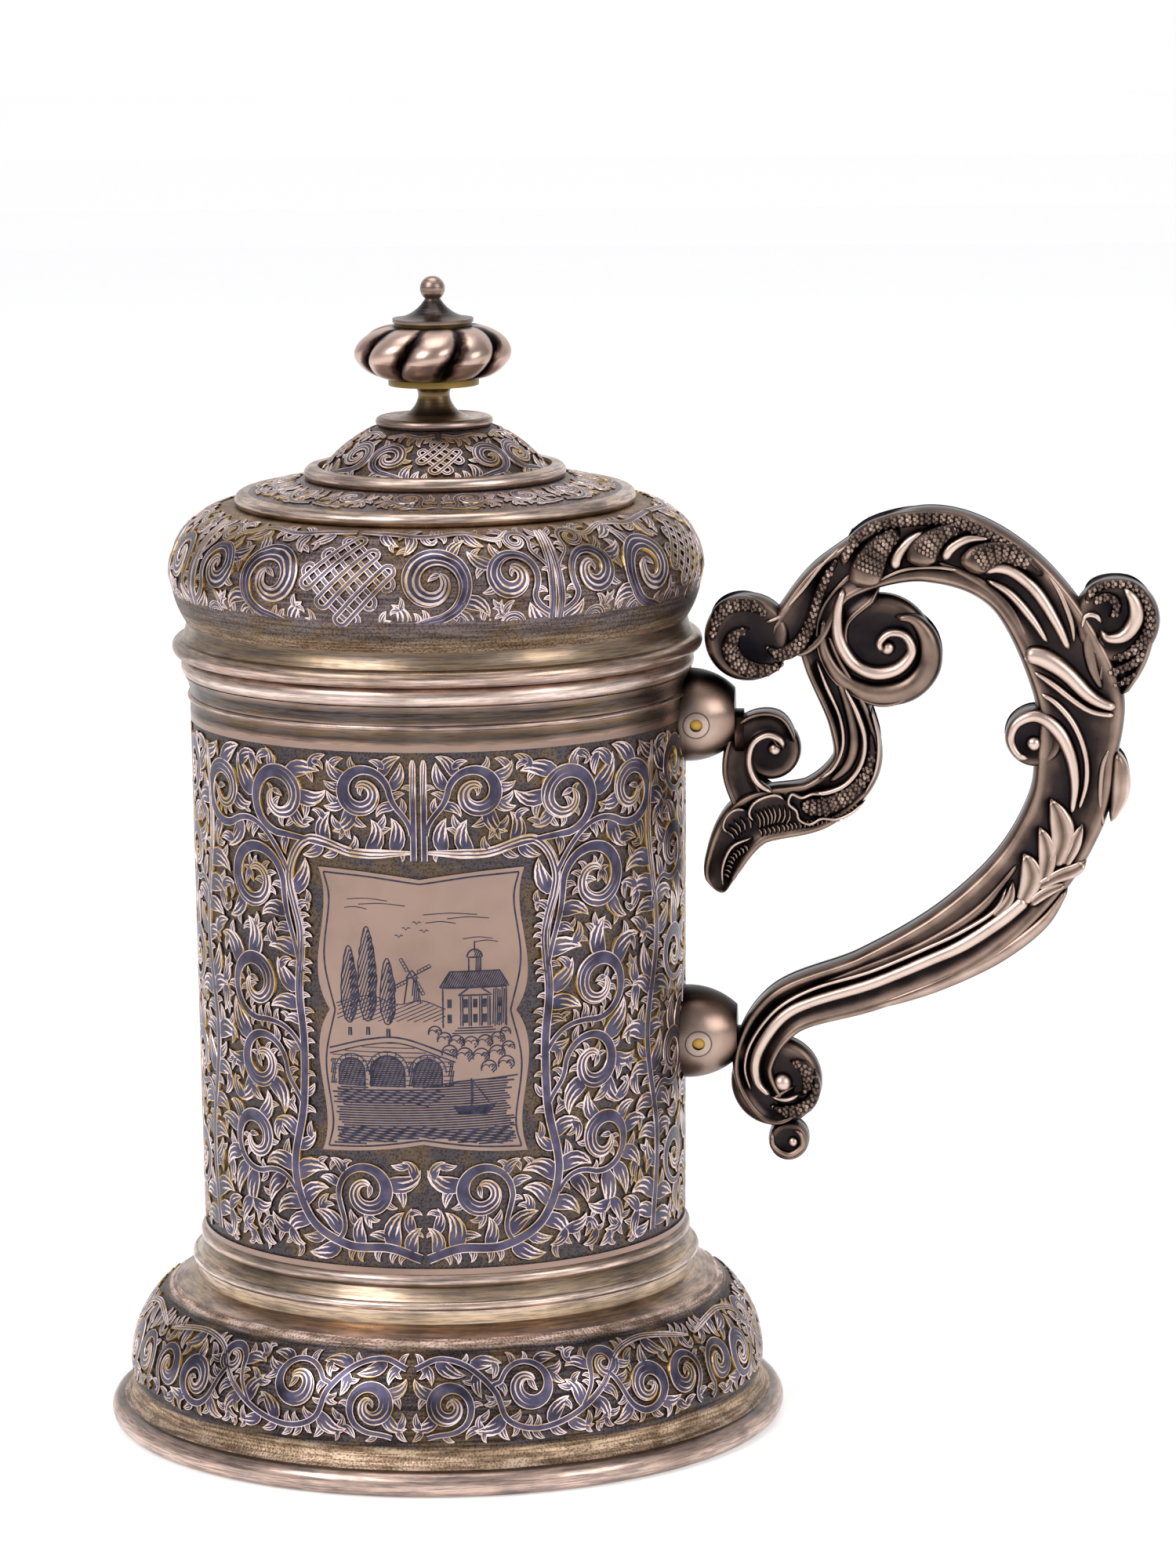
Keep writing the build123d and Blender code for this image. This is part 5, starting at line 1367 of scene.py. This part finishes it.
bowl_line = arc_line((43.45, 142.2), (45.9, 149.65), 30.0, 14)[:-1]
shoulder = np.linspace(0, math.pi / 2 * 0.96, 30)
bowl_line += [(34.6 + 11.3 * math.cos(a), 149.65 + 11.2 * math.sin(a)) for a in shoulder]
bowl_vines = [
    scroll((0.8, 1.3), -4, (14.4, 11.6), 6.3, -78, 1, half=1.25),
    stem([(0.6, 22), (7, 21.4), (13, 20.6), (20, 21.6), (26, 19.4), (29, 22)], 0.5),
    stem([(34.6, 2.2), (34.4, 8), (34.6, 15), (34.7, 21.5)], 0.6),
    scroll((34, 6), 150, (27.6, 12.4), 4.7, -30, 1, half=1.1),
    scroll((34.2, 13.5), 120, (29.6, 19), 2.6, -20, 1, half=0.6),
    scroll((22, 4), 10, (27.5, 4.2), 2.4, -120, 1, half=0.6),
]
# the lid's foliage is cut bright over more of its width than the drum's
BRIGHT_CUT = niello_silver("bright_cut_silver_lid", least_cut=-0.5)
wrap_round(
    "lid_bowl_scrollwork",
    flat_relief(
        "lid_bowl_scrolls",
        grow(35.2, 23.4, bowl_vines, 8, closed=keep_clear(0, 12.2, 11.4)),
        0.42,
        knot(0, 12.2, 3, 2.1, 5.6, 0.46),
    ),
    bowl_line,
    repeats=4,
    width=70.4,
    start=-14.4,
    body="lid",
    finish=BRIGHT_CUT,
)
terrace_vines = [
    stem([(0.5, 2), (4, 1.4), (7.5, 3.6), (10.4, 7)], 0.42),
    scroll((2.5, 1.8), 60, (5.4, 5.8), 2.3, 150, -1, half=0.75),
]
wrap_round(
    "terrace_leafwork",
    flat_relief("terrace_leaves", grow(10.8, 8.8, terrace_vines, 4, (3.4, 2.7, 2.1, 1.7)), 0.34),
    [(31.9, 163.32), (22.8, 165.22)],
    repeats=8,
    width=21.6,
    start=6,
    body="lid",
    finish=BRIGHT_CUT,
)
dome_vines = [
    scroll((0.8, 0.9), -2, (8.6, 6.2), 3.4, -80, 1, half=0.8),
    stem([(0.8, 12), (4, 11.4), (8, 12), (11.8, 11)], 0.4),
]
wrap_round(
    "dome_scrollwork",
    flat_relief(
        "dome_scrolls",
        grow(12.2, 12.6, dome_vines, 6, (3.4, 2.7, 2.1, 1.7), keep_clear(0, 6.6, 5.2)),
        0.36,
        knot(0, 6.6, 2, 1.45, 2.7, 0.32),
    ),
    arc_line((20.1, 165.6), (10.2, 174.0), 24.0, 30),
    repeats=4,
    width=24.4,
    start=8,
    body="lid",
    finish=BRIGHT_CUT,
)

# ---------------------------------------------------------------------------------------------
# Finial: a turned foot, two gilt washers, a bulb of nine swirled lobes stamped in two halves, and
# a cap with a ball, all held by a stud with a nut under the dome.


LOBES, LOBE_TURN = 9, 22  # lobes round the bulb, and the degrees they turn from its foot to its top
BULB_LOW, BULB_HIGH = 182.45, 191.45


def bulb_finish():
    """Silver rubbed bright on its lobes, with painted shade in its hollows, and near-black along
    the grooves between them.
    """
    made = worn_metal("rubbed_silver_bulb", "#cfb2a4", "#1b1718", 7.0)
    tree, shader, plain, place = reopen(made)
    split = add(tree, "SeparateXYZ", {0: place}).outputs
    twist = {"Value": split["Z"], "From Min": BULB_LOW * MM, "From Max": BULB_HIGH * MM}
    twist |= {"To Max": LOBE_TURN / (360 / LOBES)}
    twist = add(tree, "MapRange", twist, clamp=False)
    angle = add(tree, "Math", {0: split["Y"], 1: split["X"]}, operation="ARCTAN2")
    lobe = add(tree, "Math", {0: angle, 1: LOBES / math.tau}, operation="MULTIPLY")
    lobe = add(tree, "Math", {0: lobe, 1: twist}, operation="SUBTRACT")
    away = add(tree, "Math", {0: lobe, 1: 0.5}, operation="PINGPONG")
    # the near-black band along each groove wavers over about 4 mm
    smear = add(tree, "TexNoise", {"Vector": place, "Scale": 230.0, "Detail": 6.0})
    away = add(tree, "Math", {0: smear, 1: 0.5, 2: away}, operation="MULTIPLY_ADD")
    groove_dark = [(0.3, "#191517"), (0.37, "#7a6d68"), (0.46, "#ffffff")]
    groove = {0: 1.0, 6: plain, 7: add(tree, "ValToRGB", {"Fac": away}, groove_dark)}
    colour = add(tree, "Mix", groove, data_type="RGBA", blend_type="MULTIPLY")
    fill(shader, {"Base Color": colour})
    return made


bulb_silver = bulb_finish()
gilt_silver = worn_metal("gilt_silver_collar", "#9d8248", "#2d2417", 2.5)
for name in ("lower", "upper"):
    dress("finial_bulb_" + name, bulb_silver)
    dress("finial_" + name + "_washer", gilt_silver)
cap_colours = [(192.2, "#a58a7c"), (192.9, "#5a4b45"), (193.6, "#2f2829"), (195.6, "#3c3331")]
cap_colours += [(196.6, "#a1877a"), (200, "#c9ada0")]
cap_silver = turned_silver("turned_silver_cap", 192.15, 200, cap_colours, gilt=0.1, soot=0.4)
dress("finial_cap", cap_silver)
foot_colours = [(174.3, "#b3988a"), (175.9, "#c9ad9e"), (176.5, "#4d4036"), (178, "#7d6748")]
foot_colours += [(179.6, "#8f7752"), (181.3, "#45382c")]
foot_silver = turned_silver(
    "turned_silver_finial_foot", 174.25, 181.35, foot_colours, gilt=0.4, soot=0.6
)
dress("finial_foot", foot_silver)
for name in ("finial_stud", "finial_nut", "finial_nut_washer"):
    dress(name, pin_brass)

# ---------------------------------------------------------------------------------------------
# Stage: a plain pale floor that curves up behind the tankard, three soft square lamps and a pale
# sky at a plain level, and a camera with a long lens a little over a metre away.


def stage_sheet():
    """A sweep of floor and wall, pale to the camera, that keeps the object's shadow."""
    depth, radius = 2.2, 0.8
    turn = [math.radians(a) for a in range(0, 91, 6)]
    profile = [(-3.0, 0.0)] + [
        (depth + radius * math.sin(a), radius * (1 - math.cos(a))) for a in turn
    ]
    profile.append((depth + radius, 4.0))
    points = [(x, y, z) for y, z in profile for x in (-5.0, 5.0)]
    faces = [(2 * i, 2 * i + 1, 2 * i + 3, 2 * i + 2) for i in range(len(profile) - 1)]
    mesh = bpy.data.meshes.new("floor_and_wall")
    mesh.from_pydata(points, [], faces)
    made = bpy.data.materials.new("pale_paper")
    made.use_nodes = True
    tree = made.node_tree
    shader = tree.nodes["Principled BSDF"]
    fill(shader, {"Base Color": "#e9e9e9", "Roughness": 0.9})
    light = add(tree, "LightPath").outputs
    seen = {0: light["Is Camera Ray"], 1: light["Is Glossy Ray"]}
    seen = add(tree, "Math", seen, operation="MAXIMUM")
    glow = add(tree, "Emission", {"Color": "#ffffff", "Strength": 0.45})
    none = add(tree, "Emission", {"Strength": 0.0})
    choice = add(tree, "MixShader", {0: seen, 1: none, 2: glow})
    both = add(tree, "AddShader", {0: shader, 1: choice})
    fill(tree.nodes["Material Output"], {"Surface": both})
    mesh.materials.append(made)
    sheet = put("floor_and_wall", mesh)


stage_sheet()

world = bpy.data.worlds.new("studio")
bpy.context.scene.world = world
world.use_nodes = True
fill(world.node_tree.nodes["Background"], {"Color": "#cfcfd2", "Strength": 0.75})

for name, place, size, power in (
    ("key_lamp", (-1.1, -1.4, 1.5), 1.1, 26),
    ("fill_lamp", (1.5, -1.1, 0.9), 1.0, 11),
    ("top_lamp", (0.0, 0.1, 1.9), 1.2, 12),
):
    lamp = bpy.data.lights.new(name, "AREA")
    lamp.shape = "SQUARE"
    lamp.size = size
    lamp.energy = power
    aim = Vector((0.02, 0, 0.1)) - Vector(place)
    turned = aim.to_track_quat("-Z", "Y").to_matrix().to_4x4()
    put(name, lamp).matrix_world = Matrix.Translation(place) @ turned

turn, dip = math.radians(3.5), math.radians(9.8)
look = Vector((-math.sin(turn) * math.cos(dip), math.cos(turn) * math.cos(dip), -math.sin(dip)))
lens = bpy.data.cameras.new("camera")
lens.sensor_width = 36
lens.lens = 147.6
camera = put("camera", lens)
upright = look.to_track_quat("-Z", "Y").to_matrix().to_4x4()
roll = Matrix.Rotation(math.radians(-0.6), 4, "Z")
camera.matrix_world = Matrix.Translation(Vector((92.9, -1096.6, 301.4)) * MM) @ upright @ roll
bpy.context.scene.camera = camera
bpy.context.scene.view_settings.view_transform = "Standard"
